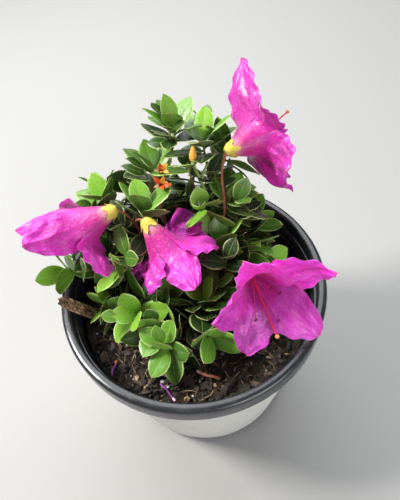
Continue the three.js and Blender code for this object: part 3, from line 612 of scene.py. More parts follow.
def solid_leaf_corners(root, along, face, size):
    """The corners that the part's source gives to a leaf."""
    across = np.cross(along, face)

    def corner(share, side, lift):
        sag = LEAF_SAG * share * share
        onward = LEAF_LENGTH * (share - sag * LEAF_SHORTENING)
        return root + size * (along * onward + face * (LEAF_LENGTH * -sag + lift) + across * side)

    corners = [corner(1, 0, 0)]
    for share, width in LEAF_STATIONS:
        half = LEAF_WIDTH * width / 2
        corners += [corner(share, side, half * LEAF_FOLD) for side in (-half, half)]
        corners.append(corner(share, 0, -LEAF_THICKNESS))
    return corners


def tree_of(name):
    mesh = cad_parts[name].data
    return BVHTree.FromPolygons([v.co[:] for v in mesh.vertices], [p.vertices[:] for p in mesh.polygons])


def grown_leaf(tree, choices):
    """The one of a leaf's places that its solid took, or None where the solid left it out."""
    for choice in choices:
        found = [tree.find_nearest(Vector(corner * MM))[3] for corner in solid_leaf_corners(*choice)]
        if found[0] < LEAF_MATCH * MM and sum(one < LEAF_MATCH * MM for one in found) >= LEAF_MATCHES:
            return choice
    return None


def new_mesh(name, points, faces):
    """A mesh from points in millimetres."""
    mesh = bpy.data.meshes.new(name)
    mesh.from_pydata((np.asarray(points, float) * MM).tolist(), [], faces)
    return mesh


def new_object(name, data):
    thing = bpy.data.objects.new(name, data)
    bpy.context.collection.objects.link(thing)
    return thing


class Batch:
    """Faces of one kind of thing, gathered and then joined into one piece."""

    def __init__(self, family=None):
        self.family = family
        self.kinds = {kind: number for number, kind in enumerate(LOOKS[family] if family else [None])}
        self.points, self.faces, self.numbers, self.colours, self.count = [], [], [], [], 0

    def add(self, points, faces, kinds=None, colours=None):
        points = np.asarray(points, float).reshape(-1, 3)
        self.faces += [tuple(int(i) + self.count for i in face) for face in faces]
        self.numbers += [self.kinds[kind] for kind in np.broadcast_to(kinds, len(faces))]
        self.points.append(points)
        self.count += len(points)
        if colours is not None:
            self.colours.append(np.asarray(colours, float).reshape(-1, 3))

    def make(self, name, slot, replaces=(), material=None, flat=False):
        mesh = new_mesh(name, np.concatenate(self.points), self.faces)
        for one in [material] if material else [plain_material(self.family, kind) for kind in self.kinds]:
            mesh.materials.append(one)
        mesh.polygons.foreach_set("material_index", self.numbers)
        mesh.polygons.foreach_set("use_smooth", [not flat] * len(self.faces))
        if self.colours:
            layer = mesh.color_attributes.new(PAINTED, "FLOAT_COLOR", "POINT")
            colours = np.concatenate(self.colours)
            layer.data.foreach_set("color", np.hstack([colours, np.ones((len(colours), 1))]).ravel())
        piece = new_object(name, mesh)
        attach(piece, "root")
        if replaces:
            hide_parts(*replaces)
        return piece


def sheet_faces(rows, columns, flip=False, closed=False):
    """Quads over a grid of points, row by row. A closed grid joins its last column to its first."""
    faces = []
    for i in range(rows - 1):
        for j in range(columns if closed else columns - 1):
            low, high = i * columns, (i + 1) * columns
            k = (j + 1) % columns
            face = (low + j, low + k, high + k, high + j)
            faces.append(face[::-1] if flip else face)
    return faces


LEAF_GRID = sheet_faces(len(LEAF_ROWS), len(LEAF_COLUMNS))


def solid_faces(rows, columns):
    """A closed grid with a flat face at each end."""
    last = (rows - 1) * columns
    ends = [tuple(range(columns))[::-1], tuple(range(last, last + columns))]
    return sheet_faces(rows, columns, closed=True) + ends


def fanned_faces(rows, columns):
    """A closed grid with a fan at each end, to two points that come after the grid's."""
    last, foot = (rows - 1) * columns, rows * columns
    faces = sheet_faces(rows, columns, closed=True)
    faces += [(foot, (k + 1) % columns, k) for k in range(columns)]
    return faces + [(foot + 1, last + k, last + (k + 1) % columns) for k in range(columns)]


def circle(radius, height, count):
    """Points round the middle at one height. The radius may differ from point to point."""
    angles = np.arange(count) * 2 * math.pi / count
    return np.column_stack([radius * np.cos(angles), radius * np.sin(angles), np.full(count, height)])


def add_tube(batch, points, radii, sides, kind=None, relief=None):
    """A tube through the points, closed at each end. relief(row, angles) scales its radius."""
    points = [np.asarray(point, float) for point in points]
    angles = np.arange(sides) * 2 * math.pi / sides
    across = SIDEWAYS
    rings = []
    for i, point in enumerate(points):
        ahead, behind = points[min(i + 1, len(points) - 1)], points[max(i - 1, 0)]
        along = unit(ahead - behind)
        across = square_to(along, across)
        other = np.cross(along, across)
        radius = radii[i] * (relief(i, angles) if relief else 1) * np.ones(sides)
        ring = np.outer(np.cos(angles) * radius, across) + np.outer(np.sin(angles) * radius, other)
        rings.append(point + ring)
    batch.add(np.vstack([*rings, points[0], points[-1]]), fanned_faces(len(rings), sides), kind)


def add_twig(batch, curve, radii, sides, kind):
    """A tube along a curve, with a ring for each radius."""
    add_tube(batch, curve.points(len(radii)), radii, sides, kind)


def add_spindle(batch, start, along, profile, sides, kind, relief=None):
    """A tube along a line, by its places on the line and its radii there."""
    points = [start + along * share for share, _ in profile]
    add_tube(batch, points, [radius for _, radius in profile], sides, kind, relief)


def leaf_outline(s):
    """Half the width of a leaf along its length: broadest past its middle, with a pointed tip."""
    fullness = mix(*LEAF_FULLNESS, smooth(s, LEAF_POINTED_FROM, 1))
    blade = np.sin(math.pi * np.clip(s, 0, 0.999) ** LEAF_BROADEST) ** fullness
    return np.maximum(blade * mix(LEAF_FOOT, 1, smooth(s, 0, LEAF_FOOT_END)), LEAF_LEAST)


def leaf_sheets(root, along, face, size, bend=0, roll=0):
    """The upper and the under side of a leaf, each as a grid of points."""
    across = np.cross(along, face)
    s, v = LEAF_ROWS[:, None, None], LEAF_COLUMNS[None, :, None]
    half = LEAF_WIDTH / 2 * LEAF_FULLER * leaf_outline(s)
    sag = (LEAF_SAG + LEAF_SAG_VARIES * math.sin(roll)) * s * s
    wave = LEAF_WAVE * np.sin(LEAF_WAVES * s + roll) * v * v * (v + LEAF_WAVE_BIAS)
    lift = half * np.abs(v) * (LEAF_CUP - LEAF_EDGE_DROP * v * v) + wave
    middle = along * LEAF_LENGTH * (s - sag * LEAF_SHORTENING) + face * (LEAF_LENGTH * -sag + lift)
    top = root + size * (middle + across * (half * v + bend * LEAF_LENGTH * s * s))
    swell = 1 + LEAF_RIB_SWELL * (np.abs(v) < LEAF_RIB * 2)
    return top, top - face * LEAF_SHEET * (1 - np.abs(v) ** 6) * swell


def leaf_kinds(tint):
    """The kind of each face: the blade, with its rib, its pale edge and its red tip."""
    across = np.abs(LEAF_COLUMNS[:-1] + LEAF_COLUMNS[1:]) / 2
    kinds = np.full((len(LEAF_ROWS) - 1, len(across)), tint, object)
    kinds[:, across < LEAF_RIB] = tint + "_rib"
    kinds[:, across > LEAF_EDGE] = tint + "_edge"
    kinds[LEAF_ROWS[:-1] > LEAF_TIP, :] = "tip"
    return kinds.ravel()


def add_leaf(batch, choice, tint, random):
    """A leaf with its darker, smoother side to the light and its dull side below."""
    bend, roll = random.uniform(-LEAF_BEND, LEAF_BEND), random.uniform(0, LEAF_ROLLS)
    top, under = leaf_sheets(*choice, bend, roll)
    rows, columns = len(LEAF_ROWS), len(LEAF_COLUMNS)
    kinds = leaf_kinds(tint)
    lit, shaded = (top, under) if choice[2][2] > 0 else (under, top)
    batch.add(lit, sheet_faces(rows, columns, flip=lit is top), kinds)
    beneath = np.where(kinds == tint, tint + "_under", kinds)
    batch.add(shaded, sheet_faces(rows, columns, flip=lit is under), beneath)


def leaf_form(choice):
    """A leaf's points, its middle and its faces as a tree."""
    points = leaf_sheets(*choice)[0].reshape(-1, 3)
    middle = choice[0] + choice[1] * LEAF_LENGTH / 2 * choice[3]
    return points, middle, BVHTree.FromPolygons((points * MM).tolist(), LEAF_GRID)


class Canopy:
    """The leaves that have grown so far, and what they keep clear of."""

    def __init__(self, obstacles, random):
        self.obstacles, self.random, self.grown = obstacles, random, []
        self.batches = {LEFT: Batch("leaf"), RIGHT: Batch("leaf")}

    def is_clear(self, points, tree):
        """Whether a leaf is above the compost and free of the blooms, the wood and the pot."""
        return points[:, 2].min() >= LOWEST_LEAF and not any(tree.overlap(one) for one in self.obstacles)

    def is_free(self, choice):
        """Whether an extra leaf has room among the other leaves as well."""
        points, middle, tree = leaf_form(choice)
        if any(np.linalg.norm(points - place, axis=1).min() < size for place, size in OPEN_PLACES):
            return False
        if not self.is_clear(points, tree):
            return False
        for other, other_size, other_tree in self.grown:
            near = np.linalg.norm(other - middle) < LEAF_SPACING * LEAF_LENGTH * (choice[3] + other_size)
            if near and tree.overlap(other_tree):
                return False
        return True

    def add(self, choice, tint):
        _, middle, tree = leaf_form(choice)
        self.grown.append((middle, choice[3], tree))
        add_leaf(self.batches[RIGHT if choice[0][0] > 0 else LEFT], choice, tint, self.random)

    def make(self):
        for piece, batch in self.batches.items():
            batch.make(piece, "leaves", [mass.name for mass in MASSES if mass.piece == piece])


def tint_of(mass, j, shade):
    """Young leaves near a tip are bright and older ones darker, with painted shade for masses in shade and
    painted light for those in the light.
    """
    rank = j * AGE_SHADE + shade + mass.shade
    return LEAF_TINTS[int(np.clip(rank, 0, len(LEAF_TINTS) - 1))]


def grow_solid_leaves(canopy, mass, shoots, draw):
    """The leaves that the part's source gives to a mass, the young ones a little further grown."""
    mass_tree, random = tree_of(mass.name), canopy.random
    for curve, shoot in zip(shoots, mass.shoots):
        shade = random.uniform(*SHOOT_SHADES)
        for j, choices in leaf_choices(curve, shoot, draw):
            choice = grown_leaf(mass_tree, choices)
            if choice is None:
                continue
            larger = (*choice[:3], mix(choice[3], shoot.size, LEAF_GROWTH))
            points, _, tree = leaf_form(larger)
            if canopy.is_clear(points, tree):
                choice = larger
            canopy.add(choice, tint_of(mass, j, shade + random.uniform(*LEAF_SHADES)))


def add_sprig(canopy, twigs, curve, share, turn, tint, sizes):
    """A finer twig out of a limb, with a few leaves in the same spiral."""
    random = canopy.random
    along, _ = leaf_pose(curve.along(share), turn, math.radians(random.uniform(*SPRIG_OPEN)))
    length, start = random.uniform(*SPRIG_LENGTH), curve.at(share)
    end = start + along * length + UP * length * SPRIG_RISE
    sprig = Curve(start, along, end, unit(along + UP * SPRIG_ARRIVE))
    leaves = 0
    for j in range(SPRIG_LEAVES):
        where = 1 - SPRIG_LEAFY * j / SPRIG_LEAVES
        size = random.uniform(*sizes) * mix(SPRIG_YOUNG, 1, min(1, j / 2))
        opened = math.radians(mix(*SPRIG_LEAF_OPEN, j / (SPRIG_LEAVES - 1)))
        for extra in SPRIG_TRIES:
            spiral = GOLDEN_ANGLE * j + turn + math.radians(extra)
            choice = (sprig.at(where), *leaf_pose(sprig.along(where), spiral, opened), size)
            if canopy.is_free(choice):
                canopy.add(choice, tint)
                leaves += 1
                break
    if leaves:
        add_twig(twigs, sprig, SPRIG_RADII, 6, "shoot")


def fill_mass(canopy, twigs, mass, stem, shoots):
    """Leaves and sprigs between the ones that the source gives, wherever there is room."""
    random = canopy.random
    for curve, shoot in zip(shoots, mass.shoots):
        turn = math.radians(shoot.turn)
        for i in range(FILLERS):
            share, opened = (mix(*ends, i / (FILLERS - 1)) for ends in (FILLER_SHARES, FILLER_OPEN))
            spiral = turn + GOLDEN_ANGLE * (i + 0.5) + random.uniform(-FILLER_TURN, FILLER_TURN)
            opened = math.radians(opened + random.uniform(-FILLER_TILT, FILLER_TILT))
            size = mix(*FILLER_SIZES, min(1, i / 3)) * random.uniform(*FILLER_GROWN) * shoot.size
            choice = (curve.at(share), *leaf_pose(curve.along(share), spiral, opened), size)
            if canopy.is_free(choice):
                canopy.add(choice, tint_of(mass, i, random.uniform(0, FILLER_SHADE)))
        for i in range(SHOOT_SPRIGS):
            share = random.uniform(*SHOOT_SPRIG_SHARES)
            tint = tint_of(mass, 3 + 2 * i, random.uniform(0, SPRIG_SHADE))
            add_sprig(canopy, twigs, curve, share, turn + SHOOT_SPRIG_TURN * i, tint, SHOOT_SPRIG_SIZES)
    if stem:
        # Sprigs along a stem get the deepest tint: painted shade inside the crown
        for i, share in enumerate(STEM_SPRIG_SHARES):
            add_sprig(canopy, twigs, stem, share, STEM_SPRIG_TURN * i, "deep", STEM_SPRIG_SIZES)


def fill_boughs(canopy, twigs):
    """Inner leaves on short sprigs along the boughs, in the darkest tints as painted shade inside the crown.
    """
    for number, bough in enumerate(BOUGHS):
        curve = bough_curve(bough)
        count = max(2, int(curve.length / BOUGH_SPRIG_STEP))
        for i in range(count):
            # The darkest tints are painted shade inside the crown
            tint = ["deep", "dark"][canopy.random.randint(2)]
            share = mix(*BOUGH_SPRIG_SHARES, i / (count - 1))
            add_sprig(canopy, twigs, curve, share, GOLDEN_ANGLE * i + number, tint, BOUGH_SPRIG_SIZES)


def add_twigs(twigs, stem, shoots):
    """The stem and the shoots of a mass, the shoots greener in their outer half."""
    if stem:
        add_twig(twigs, stem, [STEM_RADIUS] * 9, 8, "stem")
    for curve in shoots:
        points = curve.points(SHOOT_ROWS)
        radii = np.linspace(SHOOT_RADIUS, SHOOT_TIP_RADIUS, SHOOT_ROWS)
        half = SHOOT_ROWS // 2
        add_tube(twigs, points[: half + 1], radii[: half + 1], 8, "stem")
        add_tube(twigs, points[half:], radii[half:], 8, "shoot")


def grow_foliage(tips):
    """Leaves and twigs of every mass, by the source's rule and then on to finer twigs."""
    twigs = Batch("twig")
    draw = seeded_draws(SEED)
    obstacles = [bloom.name for bloom in BLOOMS] + ["pot", "compost", "trunk", "bark_chip"]
    canopy = Canopy([tree_of(name) for name in obstacles], np.random.RandomState(SCENE_SEED))
    curves = [twig_curves(mass, tips[mass.bough]) for mass in MASSES]
    for mass, (stem, shoots) in zip(MASSES, curves):
        add_twigs(twigs, stem, shoots)
        grow_solid_leaves(canopy, mass, shoots, draw)
    for mass, (stem, shoots) in zip(MASSES, curves):
        fill_mass(canopy, twigs, mass, stem, shoots)
    fill_boughs(canopy, twigs)
    canopy.make()
    twigs.make("twigs", "bark")


def bark_noise(angles, size, x, y, z):
    """Noise at places on a circle of this size, round the limb."""
    return np.array([noise_at(x + size * math.cos(a), y + size * math.sin(a), z) for a in angles])


def trunk_ridges(share, angles):
    """How much the roots widen the trunk's foot on four sides."""
    flare = 1 - smooth(share * TRUNK_HEIGHT, 0, FLARE_HEIGHT)
    ridges = np.clip(np.cos(4 * angles), 0, 1) ** 2
    return (trunk_radius(share) + ROOT_RIDGE * flare * ridges) / trunk_radius(share)


def grow_trunk():
    """The trunk, with ridges along it and finer cracks."""
    batch = Batch()
    shares = np.linspace(0, 1, TRUNK_ROWS)
    points = [trunk_point(share) for share in shares]

    def relief(i, angles):
        z = points[i][2]
        ridges, cracks = (deep * bark_noise(angles, size, 0, 0, rate * z) for size, rate, deep in TRUNK_BARK)
        return trunk_ridges(shares[i], angles) + ridges + cracks

    radii = [trunk_radius(share) * TRUNK_INSET for share in shares]
    add_tube(batch, points, radii, TRUNK_SIDES, None, relief)
    batch.make("trunk_bark", "bark", ["trunk"], bark_material())


def grow_boughs():
    """The boughs, with ridges along them, knots and flakes."""
    batch = Batch()
    for seed, bough in enumerate(BOUGHS):
        curve = bough_curve(bough)
        points = curve.points(max(12, int(curve.length / BOUGH_ROW_STEP)))

        def relief(i, angles):
            size, rate, deep = BOUGH_RIDGES
            ridges = deep * bark_noise(angles, size, 0, 0, rate * points[i][2] + seed)
            size, rates, deep = BOUGH_FLAKES
            return 1 + ridges + deep * bark_noise(angles, size, *(points[i] * rates))

        radii = np.linspace(BOUGH_RADIUS, BOUGH_TIP_RADIUS, len(points)) * BOUGH_INSET
        add_tube(batch, points, radii, BOUGH_SIDES, None, relief)
    batch.make("boughs_bark", "bark", [bough.name for bough in BOUGHS], bark_material())


# Blooms: the grid of a lobe, its relief in millimetres and its paints
PAINTED = "painted"
TUBE_ROWS = 12
LOBE_ROWS = 44
LOBE_COLUMNS = 33
PROFILE_STEPS = 400
LOBE_ROUNDED = 0.1
LOBE_LEAST = 0.004
LOBE_SHOULDER = 1.14
# Where along a lobe, or up its tube, each kind of relief and paint sets in or ends
SHOULDER_SPAN = [0.15, 0.6]
CREASE_SPAN = [0.02, 0.3]
SWELL_SPAN = [0.1, 0.5]
LAP_SPAN = [0, 0.3]
CRINKLE_SPAN = [0.03, 0.35]
TUBE_SPAN = [0, 0.24]
PAINTED_LIGHT_SPAN = [0.1, 0.8]
VEINS_END = [0.5, 0.95]
FINE_VEINS_START = [0.25, 0.6]
FINE_VEINS_END = [0.75, 1]
THROAT_SPAN = [0.3, 1.0]
FOOT_SPAN = [0.45, 0.85]
TIP_SPAN = [0.94, 1.0]
# How strong crinkles and the pale painted light are at a lobe's middle and at its edge
TOWARDS_EDGE = [0.35, 0.85]
PETAL_SHEET = 0.22
PETAL_LAP = 0.5
FINE_RUFFLE = 0.75
FINE_RUFFLE_TURNS = 23
SWELL = 0.35
SWELL_TURNS = 13
CRINKLE = 0.6
FOLD_GRAIN = (3.4, 2.3)
FOLD_SHARE = 1.3
CRINKLE_GRAIN = (7, 8)
MIDRIB_CREASE = 0.6
MIDRIB_SPREAD = 1.1
MIDRIB_PAINTED = 0.045
PATCH_GRAIN = (1.6, 2.4)
VEIN_COUNT = 19
FINE_VEIN_COUNT = 41
FINE_VEIN_SHARE = 0.4
# How much of a wave a vein takes up, and how strong veins are
VEIN_EDGE = [0.7, 1.0]
FINE_VEIN_EDGE = [0.75, 1.0]
VEINS_INSIDE = 0.4
VEINS_OUTSIDE = 0.32
# How deep the colour is in the tube and round its mouth
TUBE_DEEP = 0.3
TUBE_DEEP_SPAN = [0, 0.5]
MOUTH_DEEP = 0.35
MOUTH_FADES = 9
PAINTED_LIGHT_SHARE = 0.7
PAINTED_LIGHT_PATCHES = 0.9
PAINTED_SHADE_PATCHES = 1.5
FOOT_SHARE = 0.9
TIP_SHARE = 0.75
PETAL = np.array([0.57, 0.016, 0.35])
# Painted light: the pale of a petal washed out by light and highlights
PETAL_PAINTED_LIGHT = np.array([0.68, 0.045, 0.53])
# Painted shade: the lilac of a petal in shade
PETAL_PAINTED_SHADE = np.array([0.46, 0.055, 0.38])
PETAL_DEEP = np.array([0.5, 0.01, 0.15])
PETAL_THROAT = np.array([0.62, 0.025, 0.2])
PETAL_TIP = np.array([0.62, 0.04, 0.08])
PETAL_FOOT = np.array([0.72, 0.32, 0.3])


def bloom_frame(bloom):
    along = unit(np.array(bloom.axis, float))
    up = square_to(along, UP)
    return np.array(bloom.calyx, float), along, up, np.cross(along, up)


def away_from(up, side, angle):
    angle = np.asarray(angle)[..., None]
    return up * np.cos(angle) + side * np.sin(angle)


def noise_over(beyond, v, grain, seed):
    """Noise over a lobe, with one grain across it and one along it."""
    rows = [[noise_at(t * grain[0], s * grain[1], seed) for t in v.ravel()] for s in beyond.ravel()]
    return np.array(rows)


def lobe_profile(bloom, k, rows):
    """How far a lobe has opened at each row, and how far it has come along the axis and out from it."""
    opened, total = TUBE_LENGTH + OPENING, rows[-1]
    spread, curl = math.radians(bloom.spreads[k]), math.radians(bloom.curls[k])
    s = np.linspace(0, total, PROFILE_STEPS)
    angle = mix(TUBE_FLARE, spread, smooth(s, TUBE_LENGTH, opened)) + curl * smooth(s, opened, total)
    stride = s[1] - s[0]
    middle = (angle[1:] + angle[:-1]) / 2
    reach = np.concatenate([[0], np.cumsum(np.cos(middle))]) * stride
    radius = TUBE_BASE_RADIUS + np.concatenate([[0], np.cumsum(np.sin(middle))]) * stride
    return [np.interp(rows, s, one)[:, None, None] for one in (angle, reach, radius)]


def lobe_half_width(bloom, k, beyond):
    outline = np.sin(math.pi * mix(*LOBE_SHAPE, beyond)) ** LOBE_FULLNESS
    past = np.clip((beyond - (1 - LOBE_ROUNDED)) / LOBE_ROUNDED, 0, 1)
    outline *= np.sqrt(np.clip(1 - past**2, LOBE_LEAST, 1))
    broad = bloom.widths[k] * bloom.broader[k]
    return LOBE_WIDTH / 2 * broad * outline * mix(LOBE_SHOULDER, 1, smooth(beyond, *SHOULDER_SPAN))


def lobe_lift(bloom, k, beyond, v, half):
    """A lobe's height over its middle line: cupped, ruffled, creased, lapped and unevenly crinkled."""
    bow = bloom.cups[k]
    ruffle = LOBE_RUFFLE * v * v * np.sin(beyond * RUFFLE_TURNS + np.where(v > 0, k, k + 2))
    fine = np.sin(beyond * FINE_RUFFLE_TURNS + 4 * k + np.where(v > 0, 1.7, 0))
    crease = -MIDRIB_CREASE * np.exp(-((v * half / MIDRIB_SPREAD) ** 2)) * smooth(beyond, *CREASE_SPAN)
    swell = SWELL * np.sin(beyond * SWELL_TURNS + 5 * v + k) * smooth(beyond, *SWELL_SPAN) * (1 - v * v)
    lap = PETAL_LAP * v * smooth(beyond, *LAP_SPAN) * (1 - 0.6 * beyond)
    lift = (1 - np.cos(bow * v)) / bow * half + ruffle + FINE_RUFFLE * np.abs(v) ** 3 * fine
    seed = 10 * k + sum(bloom.calyx)
    folds = noise_over(beyond, v, FOLD_GRAIN, seed)[..., None] * FOLD_SHARE
    folds += noise_over(beyond, v, CRINKLE_GRAIN, seed + 5)[..., None] * mix(*TOWARDS_EDGE, np.abs(v))
    return lift + crease + swell + lap + CRINKLE * folds * smooth(beyond, *CRINKLE_SPAN)


def lobe_sheet(bloom, k):
    """One lobe with its share of the tube: its points, their inward normals and what paints them."""
    origin, along, up, side = bloom_frame(bloom)
    turn = math.radians(bloom.roll) + 2 * math.pi * k / LOBE_COUNT
    radial = away_from(up, side, turn)
    sideways = np.cross(along, radial)
    length = LOBE_LENGTH * bloom.lengths[k]
    tube_rows = np.linspace(0, TUBE_LENGTH, TUBE_ROWS + 1)[:-1]
    rows = np.concatenate([tube_rows, np.linspace(TUBE_LENGTH, TUBE_LENGTH + length, LOBE_ROWS)])
    angle, reach, radius = lobe_profile(bloom, k, rows)
    v = np.linspace(-1, 1, LOBE_COLUMNS)[None, :, None]
    beyond = np.clip((rows - TUBE_LENGTH) / length, 0, 1)[:, None, None]
    half = lobe_half_width(bloom, k, beyond)
    inward = along * np.sin(angle) - radial * np.cos(angle)
    shift = np.sin(bloom.cups[k] * v) / bloom.cups[k] * half + bloom.drifts[k] * beyond * beyond * length
    lobe = origin + along * reach + radial * radius + sideways * shift
    lobe = lobe + inward * lobe_lift(bloom, k, beyond, v, half)
    around = away_from(up, side, turn + v[..., 0] * math.pi / LOBE_COUNT)
    tube = origin + along * reach + around * radius
    blend = smooth(beyond, *TUBE_SPAN)
    normal = mix(along * np.sin(angle) - around * np.cos(angle), inward + 0 * v, blend)
    normal /= np.linalg.norm(normal, axis=2, keepdims=True)
    return mix(tube, lobe, blend), normal, beyond[..., 0], v[..., 0], rows[:, None] / TUBE_LENGTH


def petal_colours(beyond, v, in_tube, inside, k):
    """Magenta with painted shade in lilac patches and painted light in paler patches, deep veins that fan
    out, a redder throat and a red tip.
    """

    def over(paint, share):
        return colour + (paint - colour) * np.clip(share, 0, 1)[..., None]

    shape = (beyond.size, v.size)
    tube = 1 - np.clip(np.broadcast_to(in_tube, shape), 0, 1)
    patches = noise_over(beyond, v, PATCH_GRAIN, 3.0 * k + inside)
    colour = np.broadcast_to(PETAL, shape + (3,))
    # Pale painted light towards the lobe's end and edge and in patches, and lilac painted shade in other
    # patches
    pale = PAINTED_LIGHT_SHARE * smooth(beyond, *PAINTED_LIGHT_SPAN) * mix(*TOWARDS_EDGE, np.abs(v))
    colour = over(PETAL_PAINTED_LIGHT, pale + PAINTED_LIGHT_PATCHES * patches)
    colour = over(PETAL_PAINTED_SHADE, -PAINTED_SHADE_PATCHES * patches)
    fan = np.sin(v * VEIN_COUNT / (0.35 + 0.65 * beyond) ** 0.25 + 0.7 * np.sin(beyond * 9 + 3 * v))
    branches = np.sin(v * FINE_VEIN_COUNT + 6 * beyond + 1.5 * np.sin(beyond * 17 + 4 * v))
    veins = smooth(fan, *VEIN_EDGE) * (1 - smooth(beyond, *VEINS_END))
    veins = veins + np.exp(-((v / MIDRIB_PAINTED) ** 2)) * (1 - 0.4 * beyond)
    outer = smooth(beyond, *FINE_VEINS_START) * (1 - smooth(beyond, *FINE_VEINS_END))
    veins = veins + FINE_VEIN_SHARE * smooth(branches, *FINE_VEIN_EDGE) * outer
    colour = over(PETAL_DEEP, veins * (VEINS_INSIDE if inside else VEINS_OUTSIDE))
    deep = TUBE_DEEP * smooth(tube, *TUBE_DEEP_SPAN) + MOUTH_DEEP * np.exp(-beyond * MOUTH_FADES)
    colour = over(PETAL_DEEP, deep)
    if inside:
        colour = over(PETAL_THROAT, smooth(tube, *THROAT_SPAN))
    else:
        colour = over(PETAL_FOOT, FOOT_SHARE * smooth(tube, *FOOT_SPAN))
    return over(PETAL_TIP, TIP_SHARE * smooth(beyond, *TIP_SPAN) * (1 - 0.4 * np.abs(v)))


def add_corolla(batch, bloom):
    """The petals of a bloom, each as a thin sheet with two sides."""
    for k in range(LOBE_COUNT):
        points, normals, beyond, v, in_tube = lobe_sheet(bloom, k)
        rows, columns = points.shape[:2]
        rim = np.maximum(1 - np.abs(v) ** 8, 0)[..., None]
        # bright and lilac are painted light and shade: a lobe in the light is painted brighter, one in shade
        # darker and more lilac
        bright, lilac = bloom.tones[k]
        for side, flip in ((1, False), (-1, True)):
            sheet = points + normals * side * PETAL_SHEET / 2 * rim
            colours = petal_colours(beyond, v, in_tube, side > 0, k)
            colours = mix(colours, PETAL_PAINTED_SHADE, lilac) * bright
            batch.add(sheet, sheet_faces(rows, columns, flip=flip), colours=colours)


# The calyx cup as reaches and radii, then its rim, from which the lobes rise, and its distance from the tube
CUP_PROFILE = [(-1.3, 0.8), (-1.0, 1.5), (-0.2, 2.25)]
CUP_RIM = 0.8
CUP_CLEAR = 0.62
CUP_SHEET = 0.32
CUP_SIDES = 60
# Rows above the rim, the least height of the edge over it, and the lobes' height, shape and flare
CUP_ROWS = [0.25, 0.5, 0.75, 1]
CUP_EDGE = 1.0
CUP_LOBE = 2.1
CUP_UNEVEN = 0.25
CUP_LOBE_MOST = 1.2
CUP_LOBE_POINTED = 1.5
CUP_FLARE = 0.02
CUP_LOBE_FLARE = 0.5
OVARY = [(-1.2, 1.2), (0.2, 1.9), (1.4, 1.8), (2.6, 1.2), (3.2, 0.5)]
STALK_RADII = [0.62] * 15 + [0.8, 1.1]


def add_calyx(batch, bloom):
    """A fleshy cup that hugs the tube, its edge cut into five pointed lobes."""
    origin, along, up, side = bloom_frame(bloom)
    angles = np.linspace(0, 2 * math.pi, CUP_SIDES + 1)[:-1]
    turn = math.radians(bloom.roll) + math.pi / LOBE_COUNT
    uneven = 1 + CUP_UNEVEN * np.sin(2 * angles)
    lobes = 0.5 + 0.5 * np.cos(LOBE_COUNT * (angles - turn)) * uneven
    lobes = lobes[:, None].clip(0, CUP_LOBE_MOST) ** CUP_LOBE_POINTED
    away = away_from(up, side, angles)
    hug = math.tan(TUBE_FLARE)
    cup = CUP_PROFILE + [(CUP_RIM, TUBE_BASE_RADIUS + CUP_CLEAR + CUP_RIM * hug)]
    sheets = []
    for thick in (0, -CUP_SHEET):
        rings = [origin + along * reach + away * (radius + thick) for reach, radius in cup]
        for share in CUP_ROWS:
            reach = CUP_RIM + share * (CUP_EDGE + CUP_LOBE * lobes)
            flare = CUP_CLEAR + CUP_FLARE * share + CUP_LOBE_FLARE * share**2 * lobes
            rings.append(origin + along * reach + away * (TUBE_BASE_RADIUS + reach * hug + flare + thick))
        sheets.append(np.array(rings))
    rows, columns = sheets[0].shape[:2]
    for sheet, flip in zip(sheets, (False, True)):
        batch.add(sheet, sheet_faces(rows, columns, flip=flip, closed=True), "cup")
    rim = np.vstack([sheets[0][-1], sheets[1][-1]])
    batch.add(rim, sheet_faces(2, columns, closed=True), "cup")
    add_spindle(batch, origin, along, OVARY, 16, "green_stalk")


def add_stalk(batch, bloom, tip):
    origin, along, _, _ = bloom_frame(bloom)
    arrive = unit(mix(along, UP, STALK_UPRIGHT))
    curve = Curve(stem_start(tip, origin), tip.along, origin, arrive)
    add_twig(batch, curve, STALK_RADII, 10, "stalk")


# Stamens run out at a spread in degrees. In one bloom, which is seen from in front, their ends are given.
STAMEN_REACH = [23, 26, 28, 25, 27]
STAMEN_SPREAD = 13
STAMEN_TURN = 0.3
STAMEN_START = 2
FILAMENT_RISE = 0.25
STYLE_RISE = 0.2
STIGMA_RAISED = 1.5
ANTHER_TILT = 0.4
FACING = "bloom_right"
FACING_ANTHERS = [
    [33.6, -23.4, 125.5],
    [36.8, -26.0, 124.8],
    [41.3, -28.5, 115.8],
    [25.3, -34.3, 119.4],
    [34.6, -35.4, 118.4],
]
STIGMAS = {FACING: [32.4, -42.7, 119.4], "bloom_upper": [57.5, 60.5, 149.2]}
FILAMENT_RADII = np.linspace(0.3, 0.2, 14)
STYLE_RADII = np.linspace(0.52, 0.42, 20)
ANTHER_SHIFT = 0.42
ANTHER_STEP = 0.45
# The places and radii along half an anther and along the stigma
ANTHER = [(-0.375, 0.15), (-0.1875, 0.46), (0, 0.52), (0.1875, 0.44), (0.375, 0.15)]
STIGMA = [(-0.5, 0.45), (-0.1, 0.85), (0.4, 1.0), (0.8, 0.8), (1.0, 0.3)]


def stamen_ends(bloom):
    """Where the anthers and the stigma of a bloom are."""
    origin, along, up, side = bloom_frame(bloom)
    spread = math.radians(STAMEN_SPREAD)
    ends = []
    for i, reach in enumerate(STAMEN_REACH):
        away = away_from(up, side, 2 * math.pi * (i + STAMEN_TURN) / len(STAMEN_REACH))
        ends.append(origin + reach * (along * math.cos(spread) + away * math.sin(spread)))
    if bloom.name == FACING:
        ends = np.array(FACING_ANTHERS)
    stigma = STIGMAS.get(bloom.name, origin + along * STYLE_LENGTH + up * STIGMA_RAISED)
    return ends, np.array(stigma)


